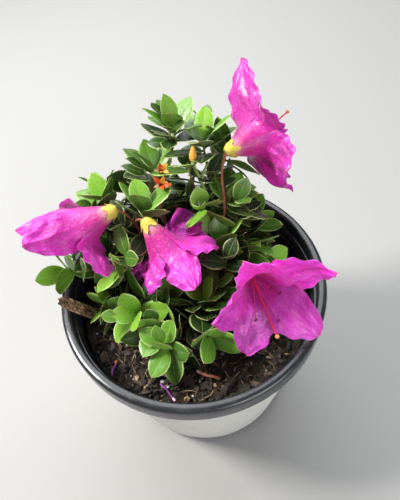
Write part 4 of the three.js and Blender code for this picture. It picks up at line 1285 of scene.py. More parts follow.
def add_stamens(batch, bloom):
    """Five filaments with an anther of two halves each, and a style with its stigma."""
    origin, along, _, _ = bloom_frame(bloom)
    ends, stigma = stamen_ends(bloom)
    for i, end in enumerate(ends):
        arrive = unit(unit(end - origin) + FILAMENT_RISE * UP)
        filament = Curve(origin + along * STAMEN_START, along, end, arrive)
        add_twig(batch, filament, FILAMENT_RADII, 6, "filament")
        across = unit(np.cross(along, UP) + ANTHER_TILT * math.sin(3.1 * i) * UP)
        for shift in (-ANTHER_SHIFT, ANTHER_SHIFT):
            middle = end + along * ANTHER_STEP * shift + across * shift
            add_spindle(batch, middle, across, ANTHER, 8, "anther")
    arrive = unit(unit(stigma - origin) + STYLE_RISE * UP)
    style = Curve(origin + along * STAMEN_START, along, stigma, arrive)
    add_twig(batch, style, STYLE_RADII, 8, "style")
    add_spindle(batch, stigma, style.along(1), STIGMA, 10, "stigma")


def grow_blooms(tips):
    corollas, calyces, stamens = Batch(), Batch("calyx"), Batch("stamen")
    for bloom in BLOOMS:
        add_corolla(corollas, bloom)
        add_calyx(calyces, bloom)
        add_stalk(calyces, bloom, tips[bloom.bough])
        add_stamens(stamens, bloom)
    add_bud(calyces)
    for number, (foot, top, length) in enumerate(SPENT):
        add_spent(calyces, np.array(foot), np.array(top), length, number)
    corollas.make("petals", "petals", [bloom.name for bloom in BLOOMS], petal_material())
    calyces.make("calyces", "leaves")
    stamens.make("stamens", "petals")


# A bud on a forked green stem, and the remains of two blooms: where each grows from, where it ends and how
# long its lobes are
BUD_STEM = [[12.7, 26.8, 134.0], [10.6, 29.2, 141.0], [8.2, 32.0, 148.8]]
BUD_FOOT = [7.9, 32.8, 150.4]
BUD_TIP = [9.1, 36.1, 157.4]
BUD_STEM_RADII = [0.85, 0.8, 0.8]
BUD_NECK_RADII = [0.7, 0.9]
BUD_SIDES = 20
BUD_RIBS = 0.12
BUD_RIB_COUNT = 5
BUD_RIB_TWIST = 0.4
BUD_SHAPE = [(0, 0.7), (0.1, 1.15), (0.25, 1.55), (0.45, 1.6), (0.68, 1.15), (0.88, 0.6), (1, 0.12)]
SIDE_STEM = [[10.6, 29.2, 141.0], [12.5, 31.8, 144.5], [15.2, 34.4, 147.9]]
SPENT = [([-10.6, 42.2, 137.0], [-8.2, 38.2, 142.6], 7.2), ([-10.2, 37.0, 133.0], [-8.8, 31.7, 139.8], 9.4)]
SIDE_STEM_RADII = [0.7, 0.65, 0.5]
SPENT_STALK_RADII = [0.55, 0.5, 0.9]
SPENT_ROWS = 12
SPENT_COLUMNS = 7
SPENT_SHEET = 0.3
# How old blooms lean, and how their lobes are turned, curled, spread and crumpled. Each crumple has a height,
# how fast it waves along the lobe and across it, and a step from lobe to lobe.
SPENT_LEAN = 0.6
SPENT_LEAN_TO = np.array([0.5, -1, 0.3])
SPENT_TURN = 0.4
SPENT_CURLS = [1.1, 0.5]
SPENT_START = 0.5
SPENT_SPREAD = 0.75
SPENT_HALF_WIDTHS = [0.5, 1.5]
SPENT_TAPER = 0.3
SPENT_CRUMPLES = [(0.5, 9, 3, 2), (0.35, 17, -5, 1)]
SPENT_CRUMPLE_SIZE = 0.8


def add_bud(batch):
    """The bud, with shallow ribs that wind up it, and its stems."""
    foot, tip = np.array(BUD_FOOT), np.array(BUD_TIP)
    add_tube(batch, BUD_STEM, BUD_STEM_RADII, 8, "green_stalk")
    add_tube(batch, SIDE_STEM, SIDE_STEM_RADII, 8, "green_stalk")
    add_tube(batch, [BUD_STEM[-1], foot], BUD_NECK_RADII, 8, "green_stalk")

    def ribs(i, angles):
        return 1 + BUD_RIBS * np.abs(np.cos(BUD_RIB_COUNT / 2 * angles + BUD_RIB_TWIST * i))

    add_spindle(batch, foot, tip - foot, BUD_SHAPE, BUD_SIDES, "bud", ribs)


def add_spent(batch, foot, top, length, number):
    """A stalk with the shrunken lobes of an old bloom: crumpled, curled strips that hang together."""
    add_tube(batch, [mix(foot, top, t) for t in (0, 0.5, 1)], SPENT_STALK_RADII, 8, "stalk")
    axis = unit(top - foot + SPENT_LEAN * unit(SPENT_LEAN_TO))
    up = square_to(axis, UP)
    side = np.cross(axis, up)
    warm = ["spent_yellow", "spent_red"][number]
    kinds = ["spent_red", "spent_pale", warm, warm, "spent_yellow"]
    s = np.linspace(0, 1, SPENT_ROWS)[:, None, None]
    v = np.linspace(-1, 1, SPENT_COLUMNS)[None, :, None]
    for k, kind in enumerate(kinds):
        away = away_from(up, side, 2 * math.pi * (k + SPENT_TURN * number) / LOBE_COUNT)
        across, normal = np.cross(axis, away), unit(axis + away)
        curl = SPENT_CURLS[0] + SPENT_CURLS[1] * math.sin(2.3 * k + number)
        out = SPENT_START + length * SPENT_SPREAD * (1 - np.cos(curl * s)) / curl
        middle = axis * length * np.sin(curl * s) / curl + away * out
        half = SPENT_HALF_WIDTHS[0] + SPENT_HALF_WIDTHS[1] * np.sin(math.pi * s**0.8)
        half = half * (0.85 + 0.2 * math.sin(5.1 * k))
        crumple = sum(high * np.sin(a * s + b * v + c * k) for high, a, b, c in SPENT_CRUMPLES)
        raised = crumple * (0.3 + 0.7 * np.abs(v)) * SPENT_CRUMPLE_SIZE
        sheet = top + middle + across * half * v * (1 - SPENT_TAPER * s) + normal * raised
        batch.add(sheet, sheet_faces(SPENT_ROWS, SPENT_COLUMNS), kind)
        batch.add(sheet - normal * SPENT_SHEET, sheet_faces(SPENT_ROWS, SPENT_COLUMNS, flip=True), kind)


# Pot and label film
POT_SIDES = 192
# Heights of the small ridges round the inner wall, their size and half their breadth
BEADS = [94.6, 90.4]
BEAD_SIZE = 0.75
BEAD_BREADTH = 1.1
FILM_ROWS = 46
FILM_SIDES = 180
FILM_SEAM = math.radians(9)
FILM_STEP = 0.97
FILM_LAP = 0.16
FILM_INSET = 0.2
FILM_SHEET = 0.3
# How high the film's waves stand, how many go round it and how they turn with its height
FILM_WAVES = [(0.03, 5, 0.06), (0.02, 11, -0.11)]
# Compost and what lies on it
SOIL_RADIUS = 58.2
SOIL_ROWS = 74
SOIL_SPOKES = 220
SOIL_SINK = 0.4
SOIL_SHOULDER = 5
SOIL_FOOT_MIDDLE = 8
SOIL_LEVEL = [6, 16]
SOIL_MIDDLE = 0.7
CLOD_BUMP = 4.2
CRUMB_BUMP = 1.1
LEAST_CRUMBS = 0.2
# The noise of the clods and of the crumbs: its grain, its seed, and its smoothness, step and layers
SOIL_NOISES = [(0.055, 3.0, (0.6, 2.2, 3)), (0.4, 7.0, (0.8, 2.3, 4))]
# How far from the trunk's middle the litter keeps
TRUNK_CLEAR = 5.5
BARK_BITS = 4400
BARK_SHARES = {"crumb": 0.42, "dark": 0.32, "brown": 0.15, "red_brown": 0.05, "tan": 0.06}
SHORTER_BITS = {"red_brown": 0.6, "tan": 0.6}
BIT_SPREAD = [0.7, 0.55]
BIT_LENGTHS = [0.8, 8.5]
BIT_WIDTHS = [0.3, 0.75]
BIT_THICKNESSES = [0.35, 0.8]
THICKEST_BIT = 1.9
BIT_LIFTS = [-0.1, 0.9]
BIT_TILT = 0.95
# A bark bit's cross sections: how far along it each is and how much smaller, and the corners of one
BIT_SECTIONS = [(-0.5, 0.45), (-0.22, 0.9), (0.2, 1), (0.5, 0.4)]
BIT_CORNERS = [(-0.5, -0.3), (0.1, -0.5), (0.5, 0.1), (-0.1, 0.5)]
# How unevenly the sections are shifted, how uneven their corners are and how askew they lie
BIT_SHIFT = 0.2
BIT_UNEVEN = 0.14
BIT_SKEW = 0.09
WALL_CLEAR = 0.5
BIT_OVERHANG = 0.45
FIBRES = 460
FIBRE_SHARES = {"fibre": 0.6, "pale": 0.4}
FIBRE_LENGTHS = [2, 8]
FIBRE_BOW = 0.9
FIBRE_LIFT = 0.7
FIBRE_ARCH = 0.8
FIBRE_RADII = [0.08, 0.13, 0.15, 0.15, 0.13, 0.11, 0.06]
PEBBLES = 130
STONE_ROWS = 6
STONE_SIDES = 9
STONE_SHAPE = [1, 0.8, 0.65]
STONE_SIZES = [0.5, 1.5]
STONE_SHARES = {"stone": 0.45, "tan": 0.3, "white": 0.25}
STONE_LIFT = 0.5
STONE_TILT = 0.5
STONE_LUMPS = 0.25


def wall_radius(height):
    return mix(FOOT_RADIUS, WALL_TOP_RADIUS, height / (POT_HEIGHT - RIM_BAND))


def inner_radius(height):
    return wall_radius(height) - WALL_THICKNESS


def rounded(corner, before, after, size, steps=5):
    """Points that round a corner of a profile off, between the corners before and after it."""
    corner, before, after = (np.array(one, float) for one in (corner, before, after))
    start = corner + unit(before - corner) * size
    end = corner + unit(after - corner) * size
    return [(1 - t) ** 2 * start + 2 * (1 - t) * t * corner + t * t * end for t in np.linspace(0, 1, steps)]


def bead(height):
    """A small ridge round the inner wall."""
    places = [(height - BEAD_BREADTH * s, BEAD_SIZE * (1 - s * s)) for s in np.linspace(-1, 1, 7)]
    return [(inner_radius(place) - size, place) for place, size in places]


def pot_profile():
    """The pot's outline from the middle of its underside round to the middle of its floor."""
    band_foot, under_rim = POT_HEIGHT - RIM_BAND, POT_HEIGHT - LIP_THICKNESS
    band_inner, step = RIM_RADIUS - LIP_THICKNESS, POT_HEIGHT - STEP_DEPTH
    channel_outer = FOOT_RADIUS - FOOT_RING
    channel_inner = channel_outer - CHANNEL_WIDTH
    floor_top, ring = CHANNEL_HEIGHT + FLOOR_THICKNESS, RIM_INNER_RADIUS - STEP_WIDTH
    # Each corner: its radius, its height and how far it is rounded off
    corners = [
        (0, 0, 0),
        (channel_inner, 0, 0.6),
        (channel_inner, CHANNEL_HEIGHT, 0.4),
        (channel_outer, CHANNEL_HEIGHT, 0.4),
        (channel_outer, 0, 0.3),
        (FOOT_RADIUS, 0, 1),
        (wall_radius(under_rim), under_rim, 0.5),
        (band_inner, under_rim, 0.5),
        (band_inner, band_foot, 0.4),
        (RIM_RADIUS, band_foot, 0.5),
        (RIM_RADIUS, POT_HEIGHT, 2.2),
        (RIM_INNER_RADIUS, POT_HEIGHT, 1.4),
        (RIM_INNER_RADIUS, step, 0.4),
        (ring, step, 0.35),
        (inner_radius(floor_top), floor_top, 1.2),
        (0, floor_top, 0),
    ]
    points = []
    for before, (radius, height, size), after in zip(corners, corners[1:], corners[2:]):
        points += rounded((radius, height), before[:2], after[:2], size)
        if (radius, height) == (ring, step):
            for place in BEADS:
                points += bead(place)
    return points, floor_top


def cut_notches(shell):
    """Cuts the notches out of the foot, evenly round it."""
    cutter = Batch()
    section = [(-1, -1), (1, -1), (1, 0.7), (0.85, 1), (-0.85, 1), (-1, 0.7)]
    for i in range(NOTCH_COUNT):
        turn = 2 * math.pi * (i + 0.5) / NOTCH_COUNT
        out = np.array([math.cos(turn), math.sin(turn), 0])
        side = np.array([-out[1], out[0], 0]) * NOTCH_WIDTH / 2
        ends = [out * (FOOT_RADIUS + way * NOTCH_DEPTH / 2) for way in (-1, 1)]
        points = [end + side * x + UP * z * NOTCH_HEIGHT for end in ends for x, z in section]
        cutter.add(points, solid_faces(2, len(section)))
    block = new_object("notches", new_mesh("notches", np.concatenate(cutter.points), cutter.faces))
    cut = shell.modifiers.new("notches", "BOOLEAN")
    cut.operation, cut.solver, cut.object = "DIFFERENCE", "EXACT", block
    graph = bpy.context.evaluated_depsgraph_get()
    carved = bpy.data.meshes.new_from_object(shell.evaluated_get(graph))
    shell.modifiers.remove(cut)
    shell.data = carved
    bpy.data.objects.remove(block)


def make_pot():
    profile, floor = pot_profile()
    rings = [circle(radius, height, POT_SIDES) for radius, height in profile]
    batch = Batch()
    batch.add(np.vstack([*rings, UP * 0, UP * floor]), fanned_faces(len(rings), POT_SIDES))
    cut_notches(batch.make("pot_shell", "pot_plastic", ["pot"], pot_material()))


def make_film():
    """A thin plain sleeve, lapped over itself at the back."""
    batch = Batch()
    heights = np.linspace(WRAP_FOOT_HEIGHT, POT_HEIGHT - RIM_BAND - WRAP_TOP_GAP, FILM_ROWS)
    angles = np.linspace(0, 2 * math.pi, FILM_SIDES + 1)[:-1]
    from_back = np.abs((angles + math.pi / 2) % (2 * math.pi) - math.pi)
    seam = FILM_LAP * (1 - smooth(from_back, FILM_SEAM * FILM_STEP, FILM_SEAM))
    rings = []
    for height in heights:
        wave = sum(size * np.sin(count * angles + rise * height) for size, count, rise in FILM_WAVES)
        radii = wall_radius(height) + GAP + WRAP_THICKNESS - FILM_INSET + wave + seam
        rings.append(circle(radii, height, FILM_SIDES))
    outer = np.array(rings)
    inner = outer.copy()
    inner[:, :, :2] *= 1 - FILM_SHEET / FOOT_RADIUS
    batch.add(outer, sheet_faces(FILM_ROWS, FILM_SIDES, closed=True))
    batch.add(inner, sheet_faces(FILM_ROWS, FILM_SIDES, flip=True, closed=True))
    for row, flip in ((0, True), (-1, False)):
        edge = np.vstack([outer[row], inner[row]])
        batch.add(edge, sheet_faces(2, FILM_SIDES, flip=flip, closed=True))
    batch.make("label_film", "wrap_film", ["wrap"], film_material())


def soil_height(x, y):
    """Height of the compost's surface, with clods, hollows and a level place round the trunk."""
    away = math.hypot(x - TRUNK_FOOT[0], y - TRUNK_FOOT[1])
    clods, crumbs = (noise.fractal(Vector((x * g, y * g, seed)), *kind) for g, seed, kind in SOIL_NOISES)
    share = float(smooth(away, *SOIL_LEVEL))
    level = SOIL_HEIGHT - SOIL_SINK
    return level + CLOD_BUMP * clods * share + CRUMB_BUMP * crumbs * mix(LEAST_CRUMBS, 1, share)


def make_compost_body():
    foot, shoulder = CHANNEL_HEIGHT + FLOOR_THICKNESS + GAP, SOIL_HEIGHT - SOIL_SHOULDER
    corners = [(inner_radius(height) - GAP, height) for height in (foot, shoulder)]
    sides = [(SOIL_FOOT_MIDDLE, foot), *corners]
    rings = [circle(radius, height, SOIL_SPOKES) for radius, height in sides]
    for radius in np.linspace(SOIL_RADIUS, SOIL_MIDDLE, SOIL_ROWS):
        ring = circle(radius, 0, SOIL_SPOKES)
        ring[:, 2] = [soil_height(x, y) for x, y, _ in ring]
        rings.append(ring)
    batch = Batch()
    batch.add(np.array(rings), solid_faces(len(rings), SOIL_SPOKES))
    batch.make("compost_body", "compost", ["compost"], compost_material())


def random_turn(random, tilt):
    yaw = random.uniform(0, 2 * math.pi)
    pitch, roll = random.uniform(-tilt, tilt), random.uniform(-tilt, tilt)
    along = np.array([math.cos(yaw) * math.cos(pitch), math.sin(yaw) * math.cos(pitch), math.sin(pitch)])
    across = square_to(along, np.array([-math.sin(yaw), math.cos(yaw), math.sin(roll)]))
    return along, across, np.cross(along, across)


def random_place(random, reach):
    """A place on the compost, clear of the trunk and of the pot's wall."""
    while True:
        radius, angle = reach * math.sqrt(random.uniform(0, 1)), random.uniform(0, 2 * math.pi)
        x, y = radius * math.cos(angle), radius * math.sin(angle)
        if math.hypot(x - TRUNK_FOOT[0], y - TRUNK_FOOT[1]) > TRUNK_CLEAR:
            return np.array([x, y, soil_height(x, y)])


def add_bit(batch, random):
    """A torn bit of bark: a slab with an uneven outline."""
    kind = random.choice(list(BARK_SHARES), p=list(BARK_SHARES.values()))
    length = float(np.clip(random.lognormal(*BIT_SPREAD), *BIT_LENGTHS)) * SHORTER_BITS.get(kind, 1)
    width = length * random.uniform(*BIT_WIDTHS)
    thick = min(THICKEST_BIT, width * random.uniform(*BIT_THICKNESSES))
    reach = SOIL_RADIUS - WALL_CLEAR - length * BIT_OVERHANG
    place = random_place(random, reach) + UP * thick * random.uniform(*BIT_LIFTS)
    along, across, up = random_turn(random, BIT_TILT)
    points = []
    for x, taper in BIT_SECTIONS:
        shift = random.uniform(-BIT_SHIFT, BIT_SHIFT, 2)
        for y, z in BIT_CORNERS:
            y, z = ((one + random.uniform(-BIT_UNEVEN, BIT_UNEVEN)) * taper for one in (y, z))
            onward = along * length * (x + random.uniform(-BIT_SKEW, BIT_SKEW))
            points.append(place + onward + across * width * (y + shift[0]) + up * thick * (z + shift[1]))
    batch.add(points, solid_faces(len(BIT_SECTIONS), len(BIT_CORNERS)), kind)


def add_fibre(batch, random):
    """A thin fibre that bows over the compost."""
    start = random_place(random, SOIL_RADIUS - FIBRE_LENGTHS[1])
    length, yaw = random.uniform(*FIBRE_LENGTHS), random.uniform(0, 2 * math.pi)
    bow = random.uniform(-FIBRE_BOW, FIBRE_BOW)
    points = []
    for t in np.linspace(0, 1, len(FIBRE_RADII)):
        angle = yaw + bow * t
        x, y = start[0] + length * t * math.cos(angle), start[1] + length * t * math.sin(angle)
        reach = min(1, (SOIL_RADIUS - 1) / max(1, math.hypot(x, y)))
        x, y = x * reach, y * reach
        points.append([x, y, soil_height(x, y) + FIBRE_LIFT + FIBRE_ARCH * math.sin(math.pi * t)])
    add_tube(batch, points, FIBRE_RADII, 5, random.choice(list(FIBRE_SHARES), p=list(FIBRE_SHARES.values())))


def add_stone(batch, random):
    """A small stone: rounded and a little uneven."""
    place = random_place(random, SOIL_RADIUS - 2) + UP * STONE_LIFT
    size = random.uniform(*STONE_SIZES)
    kind = random.choice(list(STONE_SHARES), p=list(STONE_SHARES.values()))
    seed = random.uniform(0, 50)
    turn = np.array(random_turn(random, STONE_TILT))
    points = []
    for level in np.radians(np.linspace(-80, 80, STONE_ROWS)):
        for angle in np.arange(STONE_SIDES) * 2 * math.pi / STONE_SIDES:
            way = [math.cos(level) * math.cos(angle), math.cos(level) * math.sin(angle), math.sin(level)]
            way = np.array(way) * STONE_SHAPE
            lump = 1 + STONE_LUMPS * noise_at(*(way * 1.4 + seed))
            points.append(place + size * lump * way.dot(turn))
    batch.add(points, solid_faces(STONE_ROWS, STONE_SIDES), kind)


def make_litter():
    """Bark bits, fibres and small stones, thickly strewn."""
    random = np.random.RandomState(SCENE_SEED + 1)
    batch = Batch("litter")
    for add, count in ((add_bit, BARK_BITS), (add_fibre, FIBRES), (add_stone, PEBBLES)):
        for _ in range(count):
            add(batch, random)
    batch.make("compost_litter", "compost", flat=True)


# What lies on the compost: the x and y of each strand's points, its radius, and the kinds of its length and
# of its tip
STRANDS = [
    (
        [(-24.2, -37.5), (-21.5, -39.6), (-18.6, -40.3), (-16, -41.2), (-13.5, -42.4), (-12.2, -44.1)],
        (0.42, "style", "style_pale"),
    ),
    (
        [(-20.7, -43.9), (-19.6, -45.6), (-17.6, -47.6), (-16.2, -50.2), (-14.3, -52.7)],
        (0.4, "style", "style_pale"),
    ),
    (
        [(-43.4, -36.8), (-43.2, -34.9), (-42.5, -32.9), (-42.2, -31.2), (-41.5, -29.5)],
        (0.42, "style", "style_tip"),
    ),
    # A short twig, its pale end a painted highlight
    (
        [(7, -45.3), (4.4, -44.4), (1.6, -43.1), (-0.8, -41.4), (-3.2, -39.9)],
        (0.75, "twig", "twig_pale"),
    ),
]
STRAND_ROWS = 19
STRAND_FOLLOWS = 0.3
STRAND_LIFT = 2.41
STRAND_WAVE = 1.1
STRAND_UNEVEN = 0.15
STRAND_SWELL = {"style": [1, 1.35, 1.7, 1.1], "twig": [1, 1.05, 1, 0.8]}
CHIP_ROWS = 64
CHIP_AROUND = 96
CHIP_INSET = 0.93
CHIP_DEPTH = 0.46
# The power that makes the chip's section squarer than an oval
CHIP_SQUARE = 0.5
# How fast its streaks and its fibres change round it and along it, and how they tear its tip
CHIP_NOISES = [(3.2, 3.2, 1.6), (9, 4, 2.2)]
CHIP_TORN = 3.2
CHIP_TORN_FIBRES = 1.6
CHIP_TORN_STREAKS = 1.3
CHIP_TORN_FROM = 0.78
CHIP_GRAIN = 0.5
CHIP_GRAIN_RATES = (7, 3, 1.3)
CHIP_WANDER = 0.16
CHIP_WANDER_RATE = 2.2
# Grooves along the chip: where across its face, how wide a share of it and how deep in millimetres
CHIP_GROOVES = [(-0.62, 0.09, 0.9), (-0.16, 0.11, 1.3), (0.3, 0.07, 0.8), (0.66, 0.08, 1.0)]


def make_strands():
    """Styles that have fallen from older blooms, and a short twig."""
    batch = Batch("strand")
    for places, (radius, kind, tip) in STRANDS:
        t = np.linspace(0, len(places) - 1, STRAND_ROWS)
        x, y = (np.interp(t, range(len(places)), one) for one in np.array(places, float).T)
        soil = [mix(SOIL_HEIGHT, soil_height(a, b), STRAND_FOLLOWS) for a, b in zip(x, y)]
        lift = STRAND_LIFT + STRAND_WAVE * np.sin(np.linspace(0, 2 * math.pi, STRAND_ROWS))
        points = np.column_stack([x, y, np.array(soil) + lift])
        radii = radius * (1 + STRAND_UNEVEN * np.sin(np.arange(STRAND_ROWS) * 1.3))
        swell = radius * np.array(STRAND_SWELL[kind])
        split = STRAND_ROWS - len(swell)
        add_tube(batch, points[: split + 1], radii[: split + 1], 8, kind)
        add_tube(batch, points[split:], swell, 8, tip)
    batch.make("fallen_strands", "petals")


def chip_point(share, angle, station, axes):
    """A place on the chip's surface: torn at its tip, with a fine grain and a few deep grooves."""
    (low, high, depth), (up, across, out) = station, axes
    c, s = math.cos(angle), math.sin(angle)
    x, y = (np.sign(one) * abs(one) ** CHIP_SQUARE for one in (c, s))
    streak, fibre = (noise_at(*np.multiply((c, s, share), rates)) for rates in CHIP_NOISES)
    torn = (CHIP_TORN_FIBRES * fibre + CHIP_TORN_STREAKS * streak) * smooth(share, CHIP_TORN_FROM, 1)
    grain = CHIP_GRAIN * noise_at(*np.multiply((x, np.sign(s), share), CHIP_GRAIN_RATES))
    wander = x + CHIP_WANDER * noise_at(share * CHIP_WANDER_RATE, np.sign(s), 4.0)
    groove = sum(deep * math.exp(-(((wander - at) / wide) ** 2)) for at, wide, deep in CHIP_GROOVES)
    thick = depth * CHIP_DEPTH * y * (1 + 0.15 * streak) + (grain - groove * abs(y)) * np.sign(s)
    half = (high - low) / 2 * CHIP_INSET * x * (1 + 0.12 * streak + 0.1 * fibre)
    middle = mix(CHIP_FOOT, CHIP_TIP, share) + up * (torn * CHIP_TORN)
    return middle + across * ((low + high) / 2 + half) + out * thick


def make_chip():
    """A torn piece of bark with long fibres, ragged at its tip."""
    up = unit(CHIP_TIP - CHIP_FOOT)
    across = square_to(up, np.array([0.0, 1.0, 0.0]))
    axes = (up, across, np.cross(up, across))
    shares, *widths = np.array(CHIP_STATIONS, float).T
    points = []
    for share in np.linspace(0.02, 0.99, CHIP_ROWS):
        station = [np.interp(share, shares, one) for one in widths]
        for k in range(CHIP_AROUND):
            points.append(chip_point(share, 2 * math.pi * k / CHIP_AROUND, station, axes))
    batch = Batch()
    batch.add(points, solid_faces(CHIP_ROWS, CHIP_AROUND))
    batch.make("bark_chip_fine", "bark_chip", ["bark_chip"], chip_material())


# Plain materials: a colour and a roughness for each kind of a family
LOOKS = {
    "leaf": {
        "fresh": [(0.2, 0.41, 0.036), 0.3],
        "bright": [(0.115, 0.265, 0.024), 0.29],
        "mid": [(0.066, 0.155, 0.018), 0.29],
        "dark": [(0.034, 0.08, 0.011), 0.3],
        "deep": [(0.02, 0.046, 0.01), 0.3],
        "tip": [(0.42, 0.16, 0.06), 0.5],
    },
    "twig": {
        "stem": [(0.2, 0.12, 0.065), 0.8],
        "shoot": [(0.22, 0.24, 0.07), 0.6],
    },
    "calyx": {
        "cup": [(0.52, 0.43, 0.055), 0.5],
        "stalk": [(0.3, 0.1, 0.05), 0.6],
        "green_stalk": [(0.24, 0.34, 0.08), 0.5],
        "bud": [(0.78, 0.36, 0.05), 0.45],
        "spent_yellow": [(0.78, 0.42, 0.06), 0.5],
        "spent_red": [(0.66, 0.1, 0.02), 0.45],
        "spent_pale": [(0.8, 0.55, 0.3), 0.5],
    },
    "stamen": {
        "filament": [(0.62, 0.06, 0.3), 0.45],
        "anther": [(0.1, 0.01, 0.025), 0.5],
        "style": [(0.75, 0.03, 0.12), 0.4],
        "stigma": [(0.8, 0.3, 0.1), 0.35],
    },
    "litter": {
        "crumb": [(0.02, 0.0145, 0.011), 0.8],
        "dark": [(0.029, 0.02, 0.0145), 0.75],
        "brown": [(0.08, 0.052, 0.033), 0.75],
        "red_brown": [(0.2, 0.095, 0.05), 0.7],
        "tan": [(0.38, 0.265, 0.16), 0.75],
        "fibre": [(0.3, 0.19, 0.09), 0.75],
        "pale": [(0.62, 0.46, 0.26), 0.7],
        "stone": [(0.26, 0.22, 0.18), 0.65],
        "white": [(0.62, 0.6, 0.54), 0.7],
    },
    "strand": {
        "style": [(0.34, 0.08, 0.42), 0.4],
        "style_tip": [(0.85, 0.2, 0.05), 0.45],
        "style_pale": [(0.8, 0.5, 0.66), 0.45],
        "twig": [(0.42, 0.15, 0.09), 0.55],
        "twig_pale": [(0.82, 0.5, 0.42), 0.5],
    },
}
# A leaf's rib, edge and underside are paler than its blade by a share of the way to this green, and duller
PALE_GREEN = np.array([0.46, 0.56, 0.2])
LEAF_PARTS = {"rib": (0.22, 0.08), "edge": (0.62, 0.15), "under": (0.16, 0.2)}
for tint in LEAF_TINTS:
    blade, blade_roughness = LOOKS["leaf"][tint]
    for part, (paler, duller) in LEAF_PARTS.items():
        colour = tuple(mix(np.array(blade), PALE_GREEN, paler))
        LOOKS["leaf"][tint + "_" + part] = [colour, blade_roughness + duller]
# The surface of each family: its specular value, its bumps and how its roughness varies. A bump is a noise's
# scale, detail, roughness and stretch, a depth in millimetres and a strength.
SURFACES = {
    "leaf": (0.65, [((1.1, 2, 0.5), 0.22, 0.6), ((7, 3), 0.05, 0.5)], ((0.5, 3), -0.06, 0.1)),
    "twig": (0.3, [((2.6,), 0.18, 1)], ((1.5, 3), -0.1, 0.1)),
    "calyx": (0.4, [((1.6, 3), 0.25, 0.7)], ((0.8, 3), -0.08, 0.12)),
    "stamen": (0.45, [((4, 2), 0.08, 0.6)], None),
    "litter": (0.5, [((1.6, 5, 0.7, (1, 1, 2.2)), 0.45, 1)], ((0.9,), -0.45, 0.1)),
    "strand": (0.45, [((2.5,), 0.12, 1)], ((1.5, 3), -0.1, 0.1)),
}


class Look:
    """A material, with short ways to feed its shader from noise."""

    def __init__(self, name, colour, roughness, specular):
        self.material = bpy.data.materials.new(name)
        self.material.use_nodes = True
        self.tree = self.material.node_tree
        self.shader = self.tree.nodes["Principled BSDF"]
        self.set(Base_Color=(*colour, 1), Roughness=roughness, Specular_IOR_Level=specular)

    def set(self, **values):
        for name, value in values.items():
            self.shader.inputs[name.replace("_", " ")].default_value = value

    def node(self, kind, values):
        node = self.tree.nodes.new("ShaderNode" + kind)
        for name, value in values.items():
            node.inputs[name].default_value = value
        return node

    def link(self, source, target):
        self.tree.links.new(source, target)

    def noise(self, scale, detail=4, roughness=0.6, stretch=(1, 1, 1), distortion=0):
        """Noise over the object's coordinates in millimetres, stretched along each axis."""
        coordinates = self.node("TexCoord", {})
        mapping = self.node("Mapping", {"Scale": [one / MM for one in stretch]})
        values = {"Scale": scale, "Detail": detail, "Roughness": roughness, "Distortion": distortion}
        texture = self.node("TexNoise", values)
        self.link(coordinates.outputs["Object"], mapping.inputs["Vector"])
        self.link(mapping.outputs["Vector"], texture.inputs["Vector"])
        return texture.outputs["Fac"]

    def tones(self, grain, stops):
        """Base colours that follow a noise."""
        ramp = self.node("ValToRGB", {})
        elements = ramp.color_ramp.elements
        while len(elements) < len(stops):
            elements.new(0.5)
        for element, (place, colour) in zip(elements, stops):
            element.position = place
            element.color = (*colour, 1)
        self.link(self.noise(*grain), ramp.inputs["Fac"])
        self.link(ramp.outputs["Color"], self.shader.inputs["Base Color"])

    def rough(self, grain, low, high):
        """A roughness that follows a noise."""
        values = {"From Min": 0.35, "From Max": 0.65, "To Min": low, "To Max": high}
        span = self.node("MapRange", values)
        self.link(self.noise(*grain), span.inputs["Value"])
        self.link(span.outputs["Result"], self.shader.inputs["Roughness"])

    def bump(self, grain, depth, strength=1):
        """Raises the surface by up to this depth in millimetres where a noise is high."""
        bump = self.node("Bump", {"Strength": strength, "Distance": depth * MM})
        self.link(self.noise(*grain), bump.inputs["Height"])
        last = self.shader.inputs["Normal"]
        if last.is_linked:
            self.link(last.links[0].from_socket, bump.inputs["Normal"])
        self.link(bump.outputs["Normal"], last)


@lru_cache(maxsize=None)
def plain_material(family, kind):
    """One plain colour, with its family's fine relief."""
    colour, roughness = LOOKS[family][kind]
    specular, bumps, varied = SURFACES[family]
    look = Look(family + "_" + kind, colour, roughness, specular)
    for bump in bumps:
        look.bump(*bump)
    if varied:
        grain, low, high = varied
        look.rough(grain, roughness + low, roughness + high)
    return look.material


def bark_material():
    """Grey-brown bark, cracked along the limb, with paler flakes."""
    look = Look("bark", (0.13, 0.08, 0.05), 0.85, 0.3)
    cracks = (0.9, 6, 0.7, (1.6, 1.6, 0.35))
    look.tones(cracks, [
        (0.3, (0.03, 0.018, 0.012)),
        (0.48, (0.12, 0.072, 0.042)),
        (0.62, (0.24, 0.16, 0.1)),
        (0.8, (0.34, 0.27, 0.19)),
    ])
    look.bump(cracks, 0.7)
    look.bump((3.5, 5, 0.7), 0.2)
    look.rough((1.2,), 0.72, 0.95)
    return look.material


def petal_material():
    """The colours painted on the petals, with fine veins in their relief and a soft sheen."""
    look = Look("petal", PETAL, 0.42, 0.5)
    painted = look.node("Attribute", {})
    painted.attribute_name = PAINTED
    look.link(painted.outputs["Color"], look.shader.inputs["Base Color"])
    look.bump((0.5, 3, 0.55, (1, 1, 1), 0.6), 0.9, 0.8)
    look.bump((2.6,), 0.16, 0.8)
    look.rough((0.35, 3), 0.26, 0.55)
    look.set(Sheen_Weight=0.1, Sheen_Roughness=0.4, Coat_Weight=0.2, Coat_Roughness=0.22)
    look.set(Subsurface_Weight=0.35, Subsurface_Scale=0.0015, Subsurface_Radius=(1.0, 0.2, 0.6))
    return look.material


